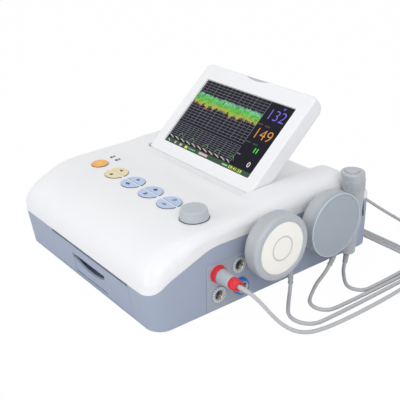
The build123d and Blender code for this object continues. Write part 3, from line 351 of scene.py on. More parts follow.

# the transducer's contact face: off-white epoxy with one shallow moulded ring, darker in a band round the
# ring as painted shade of its groove
face_white = surface("off-white cast contact face", "F3F0E8", 0.34, "F0EDE4", grain=1.4, depth=0.01)
US_Y, US_Z = -26.0, 75.0
GROOVE_R, GROOVE_FLAT, GROOVE_REACH = 14.4, 0.2, 1.5  # the ring's radius and its half widths
tree = face_white.node_tree
place = add_node(tree, "ShaderNodeTexCoord").outputs["Object"]
middle = mm(0, US_Y, US_Z)
centred = add_node(tree, "ShaderNodeVectorMath", {0: place, 1: middle}, operation="SUBTRACT")
flat = add_node(tree, "ShaderNodeVectorMath", {0: centred.outputs[0], 1: (0, 1, 1)}, operation="MULTIPLY")
reach = add_node(tree, "ShaderNodeVectorMath", {0: flat.outputs[0]}, operation="LENGTH")
beside = maths(tree, "ABSOLUTE", maths(tree, "SUBTRACT", reach.outputs["Value"], GROOVE_R * MM))
slope = {"Value": beside, "From Min": GROOVE_FLAT * MM, "From Max": GROOVE_REACH * MM}
groove_shade = add_node(tree, "ShaderNodeMapRange", slope, interpolation_type="SMOOTHSTEP")
toned = colour_mix(tree, groove_shade.outputs["Result"], linear("C9C6BC"), linear("FBF9F1"))
tree.links.new(toned, tree.nodes["Principled BSDF"].inputs["Base Color"])

finish_of = {
    white_abs: "top_cover lid_bezel lid_back",
    grey_abs: "base_shell base_posts drawer_front drawer_latch",
    trim_abs: "socket_panel transducer_hangers marker_clip printer_frame",
    knob_abs: "control_knob",
    probe_abs: "us_back_case toco_case belt_buttons",
    probe_edge: "us_front_ring us_plug toco_plug marker_plug",
    toco_abs: "toco_front",
    marker_abs: "marker_handle marker_button",
    face_white: "us_face",
    pvc: "us_cable us_coil toco_cable toco_coil marker_cable marker_coil",
    boot_pvc: "us_strain_relief toco_strain_relief marker_strain_relief",
    red_ring: "us_socket us_plug_collar",
    blue_ring: "toco_socket",
    grey_ring: "aux_sockets",
    steel: "case_screws lid_hinge_pins encoder_shaft",
    orange_cap: "orange_key",
    cream_cap: "cream_key_front cream_key_rear",
    blue_cap: " ".join(f"blue_key_{i}_{end}" for i in (1, 2, 3) for end in ("front", "rear")),
    lamp_lens: "indicator_lenses",
    black_abs: "mains_inlet power_rocker speaker",
    rubber: "rubber_feet platen_roller",
    board: "main_board key_board",
    module_tin: "power_supply battery_pack",
    tray_abs: "drawer_tray",
    glass: "lcd_panel",
}
for finish, names in finish_of.items():
    for name in names.split():
        if not nodes[name].material_slots:
            nodes[name].data.materials.append(finish)
        for node_slot in nodes[name].material_slots:
            node_slot.material = finish


# ---------- making pieces
def mesh_piece(name, verts, faces, finish, body="case", smooth=False):
    """A piece from points in mm and faces, with one finish, riding on a body."""
    data = bpy.data.meshes.new(name)
    data.from_pydata([mm(*vert) for vert in verts], [], faces)
    data.materials.append(finish)
    data.update()
    for face in data.polygons:
        face.use_smooth = smooth
    piece = placed(name, data)
    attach(piece, body)
    return piece


SAME_POINT = 0.000002  # metres


def tidy_normals(piece):
    """Merges doubles and points the faces outwards."""
    work = bmesh.new()
    work.from_mesh(piece.data)
    bmesh.ops.remove_doubles(work, verts=work.verts, dist=SAME_POINT)
    bmesh.ops.recalc_face_normals(work, faces=work.faces)
    work.to_mesh(piece.data)
    work.free()
    return piece


def plates(name, outlines, place, low, high, finish, body):
    """Thin closed plates with these flat outlines in mm; place gives the point at x, y and height."""
    verts, faces = [], []
    for outline in outlines:
        base, count = len(verts), len(outline)
        verts += [place(x, y, low) for x, y in outline] + [place(x, y, high) for x, y in outline]
        faces.append(list(range(base + count - 1, base - 1, -1)))
        faces.append(list(range(base + count, base + 2 * count)))
        for i in range(count):
            j = (i + 1) % count
            faces.append([base + i, base + j, base + count + j, base + count + i])
    return tidy_normals(mesh_piece(name, verts, faces, finish, body))


def circle_points(middle, first, second, radius, count):
    """Points of a circle that lies in two directions."""
    angles = [2 * pi * k / count for k in range(count)]
    return [tuple(middle + (first * cos(a) + second * sin(a)) * radius) for a in angles]


def turned(name, profiles, finish, body="case", axis=(1, 0, 0), across=(0, 1, 0), count=64):
    """A turned piece: each profile is (centre, [(along, radius), ...]); ends of radius 0 are closed."""
    axis, across = Vector(axis), Vector(across)
    other = axis.cross(across)
    verts, faces = [], []
    for centre, profile in profiles:
        faces += [[v + len(verts) for v in face] for face in tube_faces(len(profile), count)]
        for along, radius in profile:
            middle = Vector(centre) + axis * along
            verts += circle_points(middle, across, other, max(radius, 0.001), count)
    piece = tidy_normals(mesh_piece(name, verts, faces, finish, body, smooth=True))
    piece.data.set_sharp_from_angle(angle=radians(40))
    return piece


def swept(name, points, radius_at, finish, body="case", count=24, steps=80):
    """A round piece along a smooth line through points; radius_at gives its radius at each share of it."""
    guide = placed(name, spline(name, points, max(2, steps // len(points))))
    path_mesh = drawn(guide)
    path = [v.co.copy() for v in path_mesh.vertices]
    bpy.data.objects.remove(guide)
    bpy.data.meshes.remove(path_mesh)
    verts = []
    side = None
    for i, spot in enumerate(path):
        along = (path[min(i + 1, len(path) - 1)] - path[max(i - 1, 0)]).normalized()
        if side is None:
            side = along.orthogonal().normalized()
        side = (side - along * side.dot(along)).normalized()
        radius = radius_at(i / (len(path) - 1))
        verts += circle_points(spot, side, along.cross(side), radius, count)
    faces = tube_faces(len(path), count)
    faces.append(list(range(count - 1, -1, -1)))
    faces.append([(len(path) - 1) * count + k for k in range(count)])
    return tidy_normals(mesh_piece(name, verts, faces, finish, body, smooth=True))


IN_PLANE, SAME_CORNER = 0.000005, 0.000003  # metres


def moulding(name, node, body="case", crease=20, joins=()):
    """A merged copy of a moulded node, with smooth faces between crisp edges, that stands for it.

    joins are the planes, as an axis and its place in mm, where the node's solids meet face to face.
    """
    source = nodes[node].data
    data = bpy.data.meshes.new(name)
    work = bmesh.new()
    work.from_mesh(source)
    inner = set()
    for i, at in joins:
        inner.update(f for f in work.faces if all(abs(v.co[i] - at * MM) < IN_PLANE for v in f.verts))
    bmesh.ops.delete(work, geom=[f for f in work.faces if f in inner], context="FACES")
    bmesh.ops.remove_doubles(work, verts=work.verts, dist=SAME_CORNER)
    work.to_mesh(data)
    work.free()
    for layer in ("custom_normal", "sharp_edge", "sharp_face"):
        if layer in data.attributes:
            data.attributes.remove(data.attributes[layer])
    data.materials.clear()
    data.materials.append(nodes[node].material_slots[0].material)
    for face in data.polygons:
        face.use_smooth = True
        face.material_index = 0
    data.set_sharp_from_angle(angle=radians(crease))
    piece = placed(name, data)
    even = piece.modifiers.new("even shading", "WEIGHTED_NORMAL")
    even.keep_sharp = True
    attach(piece, body)
    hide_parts(node)
    return piece


def new_tree(name, inputs):
    """An empty Geometry Nodes tree, and its inputs: these, each a socket type, and a finish."""
    tree = bpy.data.node_groups.new(name, "GeometryNodeTree")
    tree.interface.new_socket("Geometry", in_out="OUTPUT", socket_type="NodeSocketGeometry")
    for label, kind in {**inputs, "Finish": "Material"}.items():
        tree.interface.new_socket(label, in_out="INPUT", socket_type=f"NodeSocket{kind}")
    return tree, add_node(tree, "NodeGroupInput").outputs


def end_tree(tree, geometry, finish):
    """Makes the tree's instances real and gives them their finish."""
    real = add_node(tree, "GeometryNodeRealizeInstances", {"Geometry": geometry}).outputs[0]
    coated = add_node(tree, "GeometryNodeSetMaterial", {"Geometry": real, "Material": finish})
    tree.links.new(coated.outputs[0], add_node(tree, "NodeGroupOutput").inputs["Geometry"])


def copies(tree, points, instance, **more):
    """One piece of geometry repeated on points."""
    inputs = {"Points": points, "Instance": instance, **more}
    return add_node(tree, "GeometryNodeInstanceOnPoints", inputs).outputs[0]


def grown(name, tree, body, runs):
    """One plain mesh from a tree: each run is the place of its result and the values of its inputs."""
    data = bpy.data.meshes.new(name)
    piece = placed(name, data)
    work = bmesh.new()
    finishes = []
    for place, values in runs:
        pattern = piece.modifiers.new("pattern", "NODES")
        pattern.node_group = tree
        for socket in tree.interface.items_tree:
            if socket.in_out == "INPUT":
                pattern[socket.identifier] = values[socket.name]
        result = drawn(piece)
        piece.modifiers.remove(pattern)
        result.transform(place)
        work.from_mesh(result)
        finishes = list(result.materials)
        bpy.data.meshes.remove(result)
    bmesh.ops.recalc_face_normals(work, faces=work.faces)
    work.to_mesh(data)
    work.free()
    for finish in finishes:
        data.materials.append(finish)
    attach(piece, body)
    return piece


# ---------- strain reliefs, plugs and cords
BOOT_ROOT, BOOT_TIP, RIB_SPAN = 0.14, 0.95, 0.81  # shares of a boot's length
BOOT_RIBS, RIB_DEPTH = 7, 0.55


def boot_radius(wide, narrow):
    """Radius along a ribbed boot: a plain root, then even ribs while it tapers towards the cord."""

    def at(share):
        taper = wide + (narrow - wide) * share
        if share < BOOT_ROOT or share > BOOT_TIP:
            return taper
        return taper - RIB_DEPTH * (0.5 - 0.5 * cos(2 * pi * (share - BOOT_ROOT) / RIB_SPAN * BOOT_RIBS))

    return at


us_relief = [
    (176, -7.2, 43.4), (176, -3.9, 38), (176, -0.6, 31.5), (176, 1.0, 25.5), (176.3, 1.3, 20),
    (177.6, 0.2, 14.6),
]
toco_relief = [
    (176.5, 70.7, 42), (176.5, 73.4, 35.5), (176.5, 74.4, 29), (176.5, 73, 23.5), (176.5, 70.2, 18.6),
    (176.5, 67, 14.2),
]
marker_relief = [
    (163.6, 112.5, 15), (163.8, 112.2, 11.2), (165.1, 110.4, 7.4), (167.6, 106.8, 4.9), (170.9, 102.1, 3.7),
]
for name, line, wide, narrow in (
    ("us", us_relief, 4.5, 3.1),
    ("toco", toco_relief, 4.5, 3.1),
    ("marker", marker_relief, 4.4, 3.2),
):
    boot = swept(f"{name}_boot", line, boot_radius(wide, narrow), boot_pvc, steps=150)
    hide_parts(f"{name}_strain_relief")

# the plug's red collar: a blunt cone with lengthwise flutes and a shallow hollow round the cord
COLLAR_START = 176.05
collar_line = [(0, 6.9), (0.45, 7.3), (4.95, 7.2), (11.05, 6.5), (11.45, 6.1), (11.45, 3.9), (9.85, 3.6)]
FLUTES, FLUTE_STEPS, FLUTE_DEPTH = 20, 5, 0.5
HOLLOW_R = 6  # the collar's outside is wider than this, and only the outside is fluted
ring = FLUTES * FLUTE_STEPS
verts = []
for along, radius in collar_line:
    for k in range(ring):
        angle = 2 * pi * k / ring
        dip = FLUTE_DEPTH * (0.5 - 0.5 * cos(FLUTES * angle)) if radius > HOLLOW_R and along > 0 else 0.0
        r = radius - dip
        verts.append((COLLAR_START + along, RED_Y + r * cos(angle), RED_Z + r * sin(angle)))
faces = tube_faces(len(collar_line), ring)
faces.append(list(range(ring)))
faces.append([(len(collar_line) - 1) * ring + k for k in range(ring)])
red_collar = tidy_normals(mesh_piece("us_red_collar", verts, faces, red_ring, smooth=True))
red_collar.data.set_sharp_from_angle(angle=radians(35))
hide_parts("us_plug_collar")

# a moulded boot round the cord's last 16 mm, which starts in the collar's hollow
boot_start = tuple((a + b) / 2 for a, b in zip(us_return[-3], us_return[-2]))
boot_line = [boot_start, us_return[-2], us_return[-1]]
plug_boot = swept("us_plug_boot", boot_line, lambda share: 2.42 + 0.5 * share, pvc)
stub_line = [(185.8, 0), (185.8, 2.92), (187.6, 2.92), (187.6, 0)]
stub = turned("us_plug_boot_root", [((0, RED_Y, RED_Z), stub_line)], pvc)

STRAP_THICK, STRAP_HALF, STRAP_GAP, STRAP_BEND = 0.6, 4, 0.7, 2


def coil_ties(which):
    """Two soft straps round a coil."""
    verts, faces = [], []
    centre = (COIL_X[which], LANES[which] + COIL_OUT)
    low, high = 0.03, COIL_TOP + CABLE / 2 + STRAP_GAP
    near, far = COIL_IN - CABLE / 2 - STRAP_GAP, COIL_OUT + CABLE / 2 + STRAP_GAP
    loop = []
    corners = (
        ((far - STRAP_BEND, low + STRAP_BEND), -90),
        ((far - STRAP_BEND, high - STRAP_BEND), 0),
        ((near + STRAP_BEND, high - STRAP_BEND), 90),
        ((near + STRAP_BEND, low + STRAP_BEND), 180),
    )
    for (r, z), start in corners:
        angles = [radians(start + 22.5 * k) for k in range(5)]
        loop += [(r + STRAP_BEND * cos(a), z + STRAP_BEND * sin(a)) for a in angles]
    middle = ((near + far) / 2, (low + high) / 2)
    for heading in (20, 200):
        out = Vector((cos(radians(heading)), sin(radians(heading))))
        side = Vector((-out.y, out.x))
        base = len(verts)
        for r, z in loop:
            inner_r = r + STRAP_THICK * (1 if r < middle[0] else -1)
            inner_z = z if z < middle[1] else z - STRAP_THICK
            rim = ((r, z, -STRAP_HALF), (r, z, STRAP_HALF))
            for rr, zz, half in (*rim, (inner_r, inner_z, STRAP_HALF), (inner_r, inner_z, -STRAP_HALF)):
                x, y = centre[0] + out.x * rr + side.x * half, centre[1] + out.y * rr + side.y * half
                verts.append((x, y, zz))
        for i in range(len(loop)):
            here, ahead = base + 4 * i, base + 4 * ((i + 1) % len(loop))
            faces += [[here + k, here + (k + 1) % 4, ahead + (k + 1) % 4, ahead + k] for k in range(4)]
    piece = tidy_normals(mesh_piece(f"{which}_coil_ties", verts, faces, strap))
    return piece


plugs = {
    "us": [red_collar, nodes["us_plug"], plug_boot, stub],
    "toco": [nodes["toco_plug"]],
    "marker": [nodes["marker_plug"]],
}
for which, points in routes.items():
    cable = cord_curve(f"{which}_cord", points)
    cable.data.materials.append(pvc)
    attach(cable, "case")
    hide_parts(f"{which}_cable", f"{which}_coil")
    line_length(points)
    plugs[which] + [coil_ties(which)]

# ---------- sockets
OPEN_SOCKETS = [(-55.6, 21.2, 157.4), (-57.8, 49.2, 152.6), (-87.4, 21.2, 152.6)]  # y, z, front
SLEEVE_FOOT, PAD_FOOT, PAD_DEPTH = 139.2, 139.1, 7.4
sleeves, pads = [], []
for y, z, front in OPEN_SOCKETS:
    proud, flush = front + 0.2, front - 0.05
    lip = [(front - 0.4, 5.4), (proud, 5.9), (proud, 7.4), (flush, 7.4), (flush, 6.15)]
    sleeves.append(((0, y, z), [(SLEEVE_FOOT, 5.4)] + lip + [(SLEEVE_FOOT, 6.15), (SLEEVE_FOOT, 5.4)]))
    face = front - PAD_DEPTH
    pad_face = [(face - 0.5, 0), (face, 0.4), (face, 5.0), (face - 0.5, 5.35)]
    pads.append(((0, y, z), [(PAD_FOOT, 0)] + pad_face + [(PAD_FOOT, 5.35), (PAD_FOOT, 0)]))
turned("socket_sleeves", sleeves, nickel)
turned("socket_insulators", pads, black_abs)
plug_ring = [(157.45, 6.2), (157.58, 6.2), (157.58, 8.9), (157.45, 8.9), (157.45, 6.2)]
turned("plug_sleeve_ring", [((0, RED_Y, RED_Z), plug_ring)], nickel)

# contact pins, each a slim cone with its foot on the insulator, in a ring
pin_inputs = {"Pins": "Int", "Ring radius": "Float", "Pin radius": "Float", "Pin length": "Float"}
pin_tree, pin_in = new_tree("contact pins", pin_inputs)
pin_ring = {"Vertices": pin_in["Pins"], "Radius": pin_in["Ring radius"]}
ring_points = add_node(pin_tree, "GeometryNodeMeshCircle", pin_ring)
TIP_SHARE = 0.55
tip = maths(pin_tree, "MULTIPLY", pin_in["Pin radius"], TIP_SHARE)
cone = {"Vertices": 12, "Radius Top": tip, "Radius Bottom": pin_in["Pin radius"]}
one_pin = add_node(pin_tree, "GeometryNodeMeshCone", {**cone, "Depth": pin_in["Pin length"]})
end_tree(pin_tree, copies(pin_tree, ring_points.outputs["Mesh"], one_pin.outputs["Mesh"]), pin_in["Finish"])
pin_sizes = {"Pins": 6, "Ring radius": 3.2 * MM, "Pin radius": 0.6 * MM, "Pin length": 5.4 * MM}
pin_sizes["Finish"] = nickel
outwards = Matrix.Rotation(radians(90), 4, "Y")
PIN_DEPTH = 7.8  # from a socket's front to its pins' feet
pin_runs = [
    (Matrix.Translation(mm(front - PIN_DEPTH, y, z)) @ outwards, pin_sizes)
    for y, z, front in OPEN_SOCKETS
]
grown("socket_pins", pin_tree, "case", pin_runs)

# a ring of small blocks, each turned to face out from the middle: the two spare sockets' knurled lock rings
knurl_inputs = {"Blocks": "Int", "Ring radius": "Float", "Block": "Vector"}
knurl_tree, knurl_in = new_tree("knurled ring", knurl_inputs)
knurl_ring = {"Vertices": knurl_in["Blocks"], "Radius": knurl_in["Ring radius"]}
knurl_points = add_node(knurl_tree, "GeometryNodeMeshCircle", knurl_ring)
knurl_block = add_node(knurl_tree, "GeometryNodeMeshCube", {"Size": knurl_in["Block"]})
from_middle = {"Vector": add_node(knurl_tree, "GeometryNodeInputPosition").outputs[0]}
heading = add_node(knurl_tree, "FunctionNodeAlignRotationToVector", from_middle, axis="X")
knurls = copies(
    knurl_tree, knurl_points.outputs["Mesh"], knurl_block.outputs["Mesh"], Rotation=heading.outputs[0]
)
end_tree(knurl_tree, knurls, knurl_in["Finish"])
# the blocks' near-white finish is painted glint on the knurls
knurl_sizes = {"Blocks": 20, "Ring radius": 8.6 * MM, "Block": mm(2.3, 1.5, 0.8), "Finish": nickel_painted_glint}
KNURL_X = 152.45
knurl_runs = [
    (Matrix.Translation(mm(KNURL_X, y, z)) @ outwards, knurl_sizes) for y, z, front in OPEN_SOCKETS[1:]
]
grown("socket_lock_rings", knurl_tree, "case", knurl_runs)


# ---------- keypad
KEY_SLOPE = radians(2.5)
KEY_Y, KEY_Z, KEY_RISE = -87.5, 102.35, 1.4


def on_keys(x, y, h):
    """A point of the keypad: x across, y back along its slope, h out of it."""
    lean, rise = sin(KEY_SLOPE), cos(KEY_SLOPE)
    return (x, KEY_Y + y * rise - h * lean, KEY_Z + y * lean + h * rise)


def ring_outline(radius, width, count=20, start=0, sweep=360):
    """Outlines of the short blocks that make a ring or an arc."""
    blocks = []
    for k in range(count):
        a, b = (radians(start + sweep * (k + e) / count) for e in (0, 1))
        corners = ((radius, a), (radius, b), (radius - width, b), (radius - width, a))
        blocks.append([(r * cos(t), r * sin(t)) for r, t in corners])
    return blocks


def bead_line(along, radius, size):
    """Profile of a round bead of this size, with its middle at this place and radius."""
    angles = [radians(30 * k) for k in range(13)]
    return [(along + size * sin(a), radius + size * cos(a)) for a in angles]


def bar(x0, y0, x1, y1):
    """The outline of an upright rectangle."""
    return [(x0, y0), (x1, y0), (x1, y1), (x0, y1)]


def moved(outline, dx, dy):
    """The same outline in another place."""
    return [(x + dx, y + dy) for x, y in outline]


# plain signs made of bars, rings and simple outlines
house = [(-3.2, -1.8), (3.2, -1.8), (3.2, 0.4), (0, 2.6), (-3.2, 0.4)]
bell = [(-3.0, -1.7), (3.0, -1.7), (2.0, 0.2), (1.3, 2.0), (-1.3, 2.0), (-2.0, 0.2)]
signs = {
    "orange_key": ring_outline(3.4, 0.8, 18, 120, 300) + [bar(-0.45, 0.6, 0.45, 4.0)],
    "cream_key_front": [bell, bar(-0.7, -2.8, 0.7, -1.9)],
    "cream_key_rear": [[(-3.2, -1.4), (-0.4, -1.4), (1.8, -2.6), (1.8, 2.6), (-0.4, 1.4), (-3.2, 1.4)]],
    "blue_key_1_front": [house, bar(-4.4, -0.4, -3.3, 1.2)],
    "blue_key_1_rear": [bar(-3.0, -0.8, 3.0, 0.8), bar(-0.8, -2.4, 0.8, 2.4)],
    "blue_key_2_front": [[(-2.6, -2.4), (2.6, -2.4), (0.9, 0), (2.6, 2.4), (-2.6, 2.4), (-0.9, 0)]],
    "blue_key_2_rear": [bar(-3.2, -1.5, 3.2, 0.6), bar(-1.8, 0.6, 1.8, 2.2), bar(-1.8, -2.8, 1.8, -1.6)],
    "blue_key_3_front": [bar(-4.0, -0.9, 4.0, 0.1), bar(-2.4, 0.9, 3.2, 1.7)],
    "blue_key_3_rear": ring_outline(2.9, 0.9, 18) + [bar(-0.4, 0, 0.4, 1.9), bar(-0.4, -0.4, 1.5, 0.3)],
}
FIRST_PAIR_X, PAIR_STEP, SIGN_Y = -54.9, 38.4, 7.6
key_spot = {"orange_key": (-96.3, 0)}
for i, pair in enumerate(("cream_key", "blue_key_1", "blue_key_2", "blue_key_3")):
    for end, side in (("front", -SIGN_Y), ("rear", SIGN_Y)):
        key_spot[f"{pair}_{end}"] = (FIRST_PAIR_X + PAIR_STEP * i, side)
for key_name, outlines in signs.items():
    x0, y0 = key_spot[key_name]
    laid = [moved(outline, x0, y0) for outline in outlines]
    tint = orange_print if key_name == "orange_key" else ink
    low, high = KEY_RISE - 0.05, KEY_RISE + 0.06
    sign = plates(f"{key_name}_sign", laid, on_keys, low, high, tint, f"{key_name}_body")

# a thin dark ring round each key's foot: painted shade of the gap between the key and the cover
KEY_R, KEY_SPLIT, ORANGE_R, SHADE_RING = 15.25, 3.0, 11.25, 0.22
SHADE_RING_LOW, SHADE_RING_HIGH = -2.6, 0.75
for key_name, (x0, y0) in key_spot.items():
    if key_name == "orange_key":
        r, side = ORANGE_R + SHADE_RING, 1
        angles = [radians(7.5 * k) for k in range(48)]
    else:
        r, side = KEY_R + SHADE_RING, (1 if y0 > 0 else -1)
        first = asin((KEY_SPLIT / 2 + 0.3) / r)
        angles = [first + (pi - 2 * first) * k / 36 for k in range(37)]
    outline = [(r * cos(a), side * r * sin(a)) for a in angles]
    laid = [moved(outline, x0, 0)]
    shade_ring = plates(f"{key_name}_seal", laid, on_keys, SHADE_RING_LOW, SHADE_RING_HIGH, rubber, f"{key_name}_body")

# the knob's thin dark ring, painted shade of the gap round its foot, and the pale bead round its top,
# painted highlight on its rim
KNOB_X, KNOB_Y, KNOB_R, KNOB_TOP_R, KNOB_RISE = 109.0, -0.5, 17.2, 15.3, 12.0
knob_up = (0, -sin(KEY_SLOPE), cos(KEY_SLOPE))
gap_shade_in, gap_shade_out = KNOB_R - 1, KNOB_R + 0.28
gap_shade_line = [(0.45, gap_shade_in), (0.45, gap_shade_out), (1.05, gap_shade_out), (1.2, gap_shade_in), (0.45, gap_shade_in)]
knob_middle = on_keys(KNOB_X, KNOB_Y, 0)
knob_way = {"body": "knob", "axis": knob_up, "across": (1, 0, 0)}
gap_shade = turned("knob_gap_shade", [(knob_middle, gap_shade_line)], rubber, **knob_way)
top_bead = bead_line(KNOB_RISE - 0.25, KNOB_TOP_R - 0.75, 0.42)
bead = turned("knob_bead", [(knob_middle, top_bead)], rim_highlight_abs, **knob_way, count=96)

# the marks beside the two lamps: a mains plug's and a battery's, as two small bars each
lamp_marks = [bar(-106.4, 26.6, -103.0, 28.2), bar(-105.4, 28.2, -104.0, 29.2)]
lamp_marks += [bar(-93.6, 26.4, -90.0, 28.4), bar(-90.0, 26.9, -89.4, 27.9)]
cover_rise = 0.32  # the cover's surface stands a little above the keypad's plane here
marks = plates("lamp_marks", lamp_marks, on_keys, cover_rise - 0.2, cover_rise, ink, "case")

# ---------- display
TILT = radians(42.41)
SCREEN_Y, SCREEN_Z = 10.67, 116.67  # the middle of the screen's bottom edge


def on_screen(x, s, d):
    """A point of the display: x across, s up the screen from its bottom edge, d out of its face."""
    return (x, SCREEN_Y + s * cos(TILT) - d * sin(TILT), SCREEN_Z + s * sin(TILT) + d * cos(TILT))


PANEL = -2.6  # the panel's own face, behind the bezel's
grid_grey = lit("pale grey grid pixels", "9A9DAC", 0.62)
mint = lit("mint trace pixels", "8FE8B8", 0.8)
green = lit("green trace pixels", "4FD81E", 0.85)
vivid_green = lit("vivid green figure pixels", "3CF82C", 1.1)
lime = lit("lime trace pixels", "B4DC28", 0.8)
amber = lit("amber trace pixels", "E8A060", 0.8)
violet = lit("violet figure pixels", "7868F0", 0.9)
orange = lit("orange figure pixels", "F0A028", 0.9)
white = lit("white figure pixels", "EEEEF8", 1.1)
pink = lit("pale pink trace pixels", "E8CFCB", 0.8)
bar_green = lit("dark green bar pixels", "085428", 0.6)
dim_amber = lit("dim amber pixels", "A86A40", 0.3)
dim_green = lit("dim green pixels", "2E8C30", 0.3)
dim_violet = lit("dim violet pixels", "7868F0", 0.4)
night = lit("unlit pixels", "141420", 0.3)
yellow = lit("yellow-green figure pixels", "D8EC28", 1.1)


def pixels(name, outlines, finish, layer=1):
    """A piece of lit pixels with these outlines, in a thin layer just over the panel."""
    low = PANEL + 0.02 * layer
    piece = plates(name, outlines, on_screen, low, low + 0.015, finish, "lid")
    return piece


# ruled lines of pixels, each a thin flat strip, at an even step
line_inputs = {"Lines": "Int", "Start": "Vector", "Step": "Vector", "Strip": "Vector"}
line_tree, line_in = new_tree("ruled lines", line_inputs)
line_places = {"Count": line_in["Lines"], "Start Location": line_in["Start"], "Offset": line_in["Step"]}
line_points = add_node(line_tree, "GeometryNodeMeshLine", line_places, mode="OFFSET")
strip_box = add_node(line_tree, "GeometryNodeMeshCube", {"Size": line_in["Strip"]})
end_tree(line_tree, copies(line_tree, line_points.outputs[0], strip_box.outputs["Mesh"]), line_in["Finish"])


def ruled(lines, start, step, strip, finish):
    """One run of ruled lines: sizes in mm across and up the screen."""
    return (
        screen_place,
        {
            "Lines": lines,
            "Start": mm(*start, PANEL + 0.03),
            "Step": mm(*step, 0.0),
            "Strip": mm(*strip, 0.02),
            "Finish": finish,
        },
    )


screen_corner = Vector(on_screen(0, 0, 0)) * MM
screen_place = Matrix.Translation(screen_corner) @ Matrix.Rotation(TILT, 4, "X")
GRID_LEFT, GRID_RIGHT = -86.5, 43.2
middle_x, grid_w = (GRID_LEFT + GRID_RIGHT) / 2, GRID_RIGHT - GRID_LEFT
grid_runs = [
    ruled(17, (middle_x, 38), (0, 4.15), (grid_w, 0.44), grid_grey),
    ruled(9, (middle_x, 11.2), (0, 2.87), (grid_w, 0.4), grid_grey),
]
for low, high in ((38, 104.3), (11, 34.3)):
    grid_runs.append(ruled(16, (43, (low + high) / 2), (-8.55, 0), (0.34, high - low), grid_grey))
    grid_runs.append(ruled(6, (43, (low + high) / 2), (-25.65, 0), (0.6, high - low), grid_grey))
grown("screen_grid", line_tree, "lid", grid_runs)

# the two heart-rate traces: jagged strokes that overlap in one band
seed = 7


def jitter():
    """A repeatable number from 0 to 1."""
    global seed
    seed = (seed * 16807) % 2147483647
    return seed / 2147483647


columns = {"green": [], "mint": [], "lime": [], "amber": []}
for i in range(236):
    x = -86 + 0.545 * i
    wave = 1.3 * sin(i * 0.21) + 0.9 * sin(i * 0.067 + 1)
    top, bottom = 84 + wave * 0.5 + 3.0 * jitter() - 2.0, 68.5 + wave + 4.0 * jitter() - 1.6
    mid_high, mid_low = 77 + 6.4 * jitter(), 70.5 + 5.5 * jitter()
    lean_x = 0.8 * jitter() - 0.3
    for key, low, high in (("mint", mid_high, top), ("green", mid_low, mid_high), ("lime", bottom, mid_low)):
        columns[key].append([(x, low), (x + 0.5, low), (x + 0.5 + lean_x, high), (x + lean_x, high)])
    swell = sin(i * 0.27)
    if swell > -0.2:
        columns["amber"].append(bar(x, bottom - 1.0 - 3.6 * jitter() * max(0.2, swell), x + 0.5, bottom))
tints = {"green": green, "mint": mint, "lime": lime, "amber": amber, "night": night}
for key, outlines in columns.items():
    pixels(f"trace_{key}", outlines, tints[key], 2)
# stray flecks over the band
flecks = {"green": [], "mint": [], "amber": [], "night": []}
for i in range(420):
    x, low, tall = -86 + 128.6 * jitter(), 69.5 + 13 * jitter(), 1.2 + 3.0 * jitter()
    key = tuple(flecks)[int(4 * jitter()) % 4]
    if not (key == "amber" and low > 76) and not (key == "mint" and low < 73):
        flecks[key].append([(x, low), (x + 0.5, low), (x + 0.9, low + tall), (x + 0.4, low + tall)])
for key, outlines in flecks.items():
    pixels(f"trace_flecks_{key}", outlines, tints[key], 3)
strokes = []
for i in range(11):
    x = -86 + 12.1 * i
    end = min(x + 10.8, 43)
    strokes += [[(x, 10.6), (x + 1.2, 11.6), (end, 8.8), (end - 0.8, 7.8)]]
pixels("activity_trace", strokes, pink, 2)
humps = []
for x in (-70, -46, -16, 8, 36):
    arch = [(x + 2.1 * k, 13 + 5.5 * sin(pi * k / 5)) for k in range(6)]
    humps += [[a, b, (b[0], b[1] - 0.6), (a[0], a[1] - 0.6)] for a, b in zip(arch, arch[1:])]
pixels("pressure_trace", humps, green, 2)
pixels("status_bar", [bar(-86.5, 0.3, 86.5, 6.6)], bar_green, 1)
pale_marks = [bar(-68, 1.5, -65, 5.2), bar(-57, 1.6, -52, 4.9), bar(-15, 1.8, 2.5, 5.2)]
pixels("status_marks_pale", pale_marks, pink, 2)
mint_marks = [[(-84, 4.6), (-82, 5.2), (-77, 1.6), (-79, 1.2)]]
mint_marks += [bar(-37, 2.6, -23, 3.8), bar(33, 2.2, 43, 4.4)]
pixels("status_marks_mint", mint_marks, mint, 2)
pixels("status_marks_yellow", [bar(-45, 1.5, -40, 5.0)], yellow, 2)


def small_print(*rows):
    """Rows of short blocks that stand for print too small to read: (x, s, blocks)."""
    return [bar(x + 2.2 * k, s, x + 1.5 + 2.2 * k, s + 1.9) for x, s, count in rows for k in range(count)]


pixels("small_marks_orange", small_print((45, 70.2, 4), (58, 69.8, 4)), dim_amber, 2)
pixels("small_marks_green", small_print((45, 42.6, 4), (58, 42.2, 4)), dim_green, 2)
pixels("small_marks_white", small_print((44.6, 23.2, 3)), grid_grey, 2)
heart = []
for k in range(24):
    t = 2 * pi * k / 24
    rise = 13 * cos(t) - 5 * cos(2 * t) - 2 * cos(3 * t) - cos(4 * t)
    heart.append((70 + 2.4 * sin(t) ** 3, 100 + 0.15 * rise))
pixels("heart_mark", [heart], dim_violet, 2)


EM_TO_FIGURE = 1.37  # the font's size over the height of its figures


def figures(name, words, x, s, size, finish, slant=-0.02, spacing=1.0, weight=0.0):
    """Figures of this height in mm, with their lower left corner at x, s on the screen."""
    data = bpy.data.curves.new(name, "FONT")
    data.body = words
    data.size = size * EM_TO_FIGURE
    data.shear = slant
    data.space_character = spacing
    data.offset = weight
    data.extrude = 0.008
    draft = placed(name, data)
    mesh = drawn(draft)
    bpy.data.objects.remove(draft)
    for vert in mesh.vertices:
        vert.co = Vector(on_screen(x + vert.co.x, s + vert.co.y, PANEL + 0.05 + vert.co.z)) * MM
    mesh.materials.clear()
    mesh.materials.append(finish)
    piece = placed(name, mesh)
    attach(piece, "lid")
    return piece


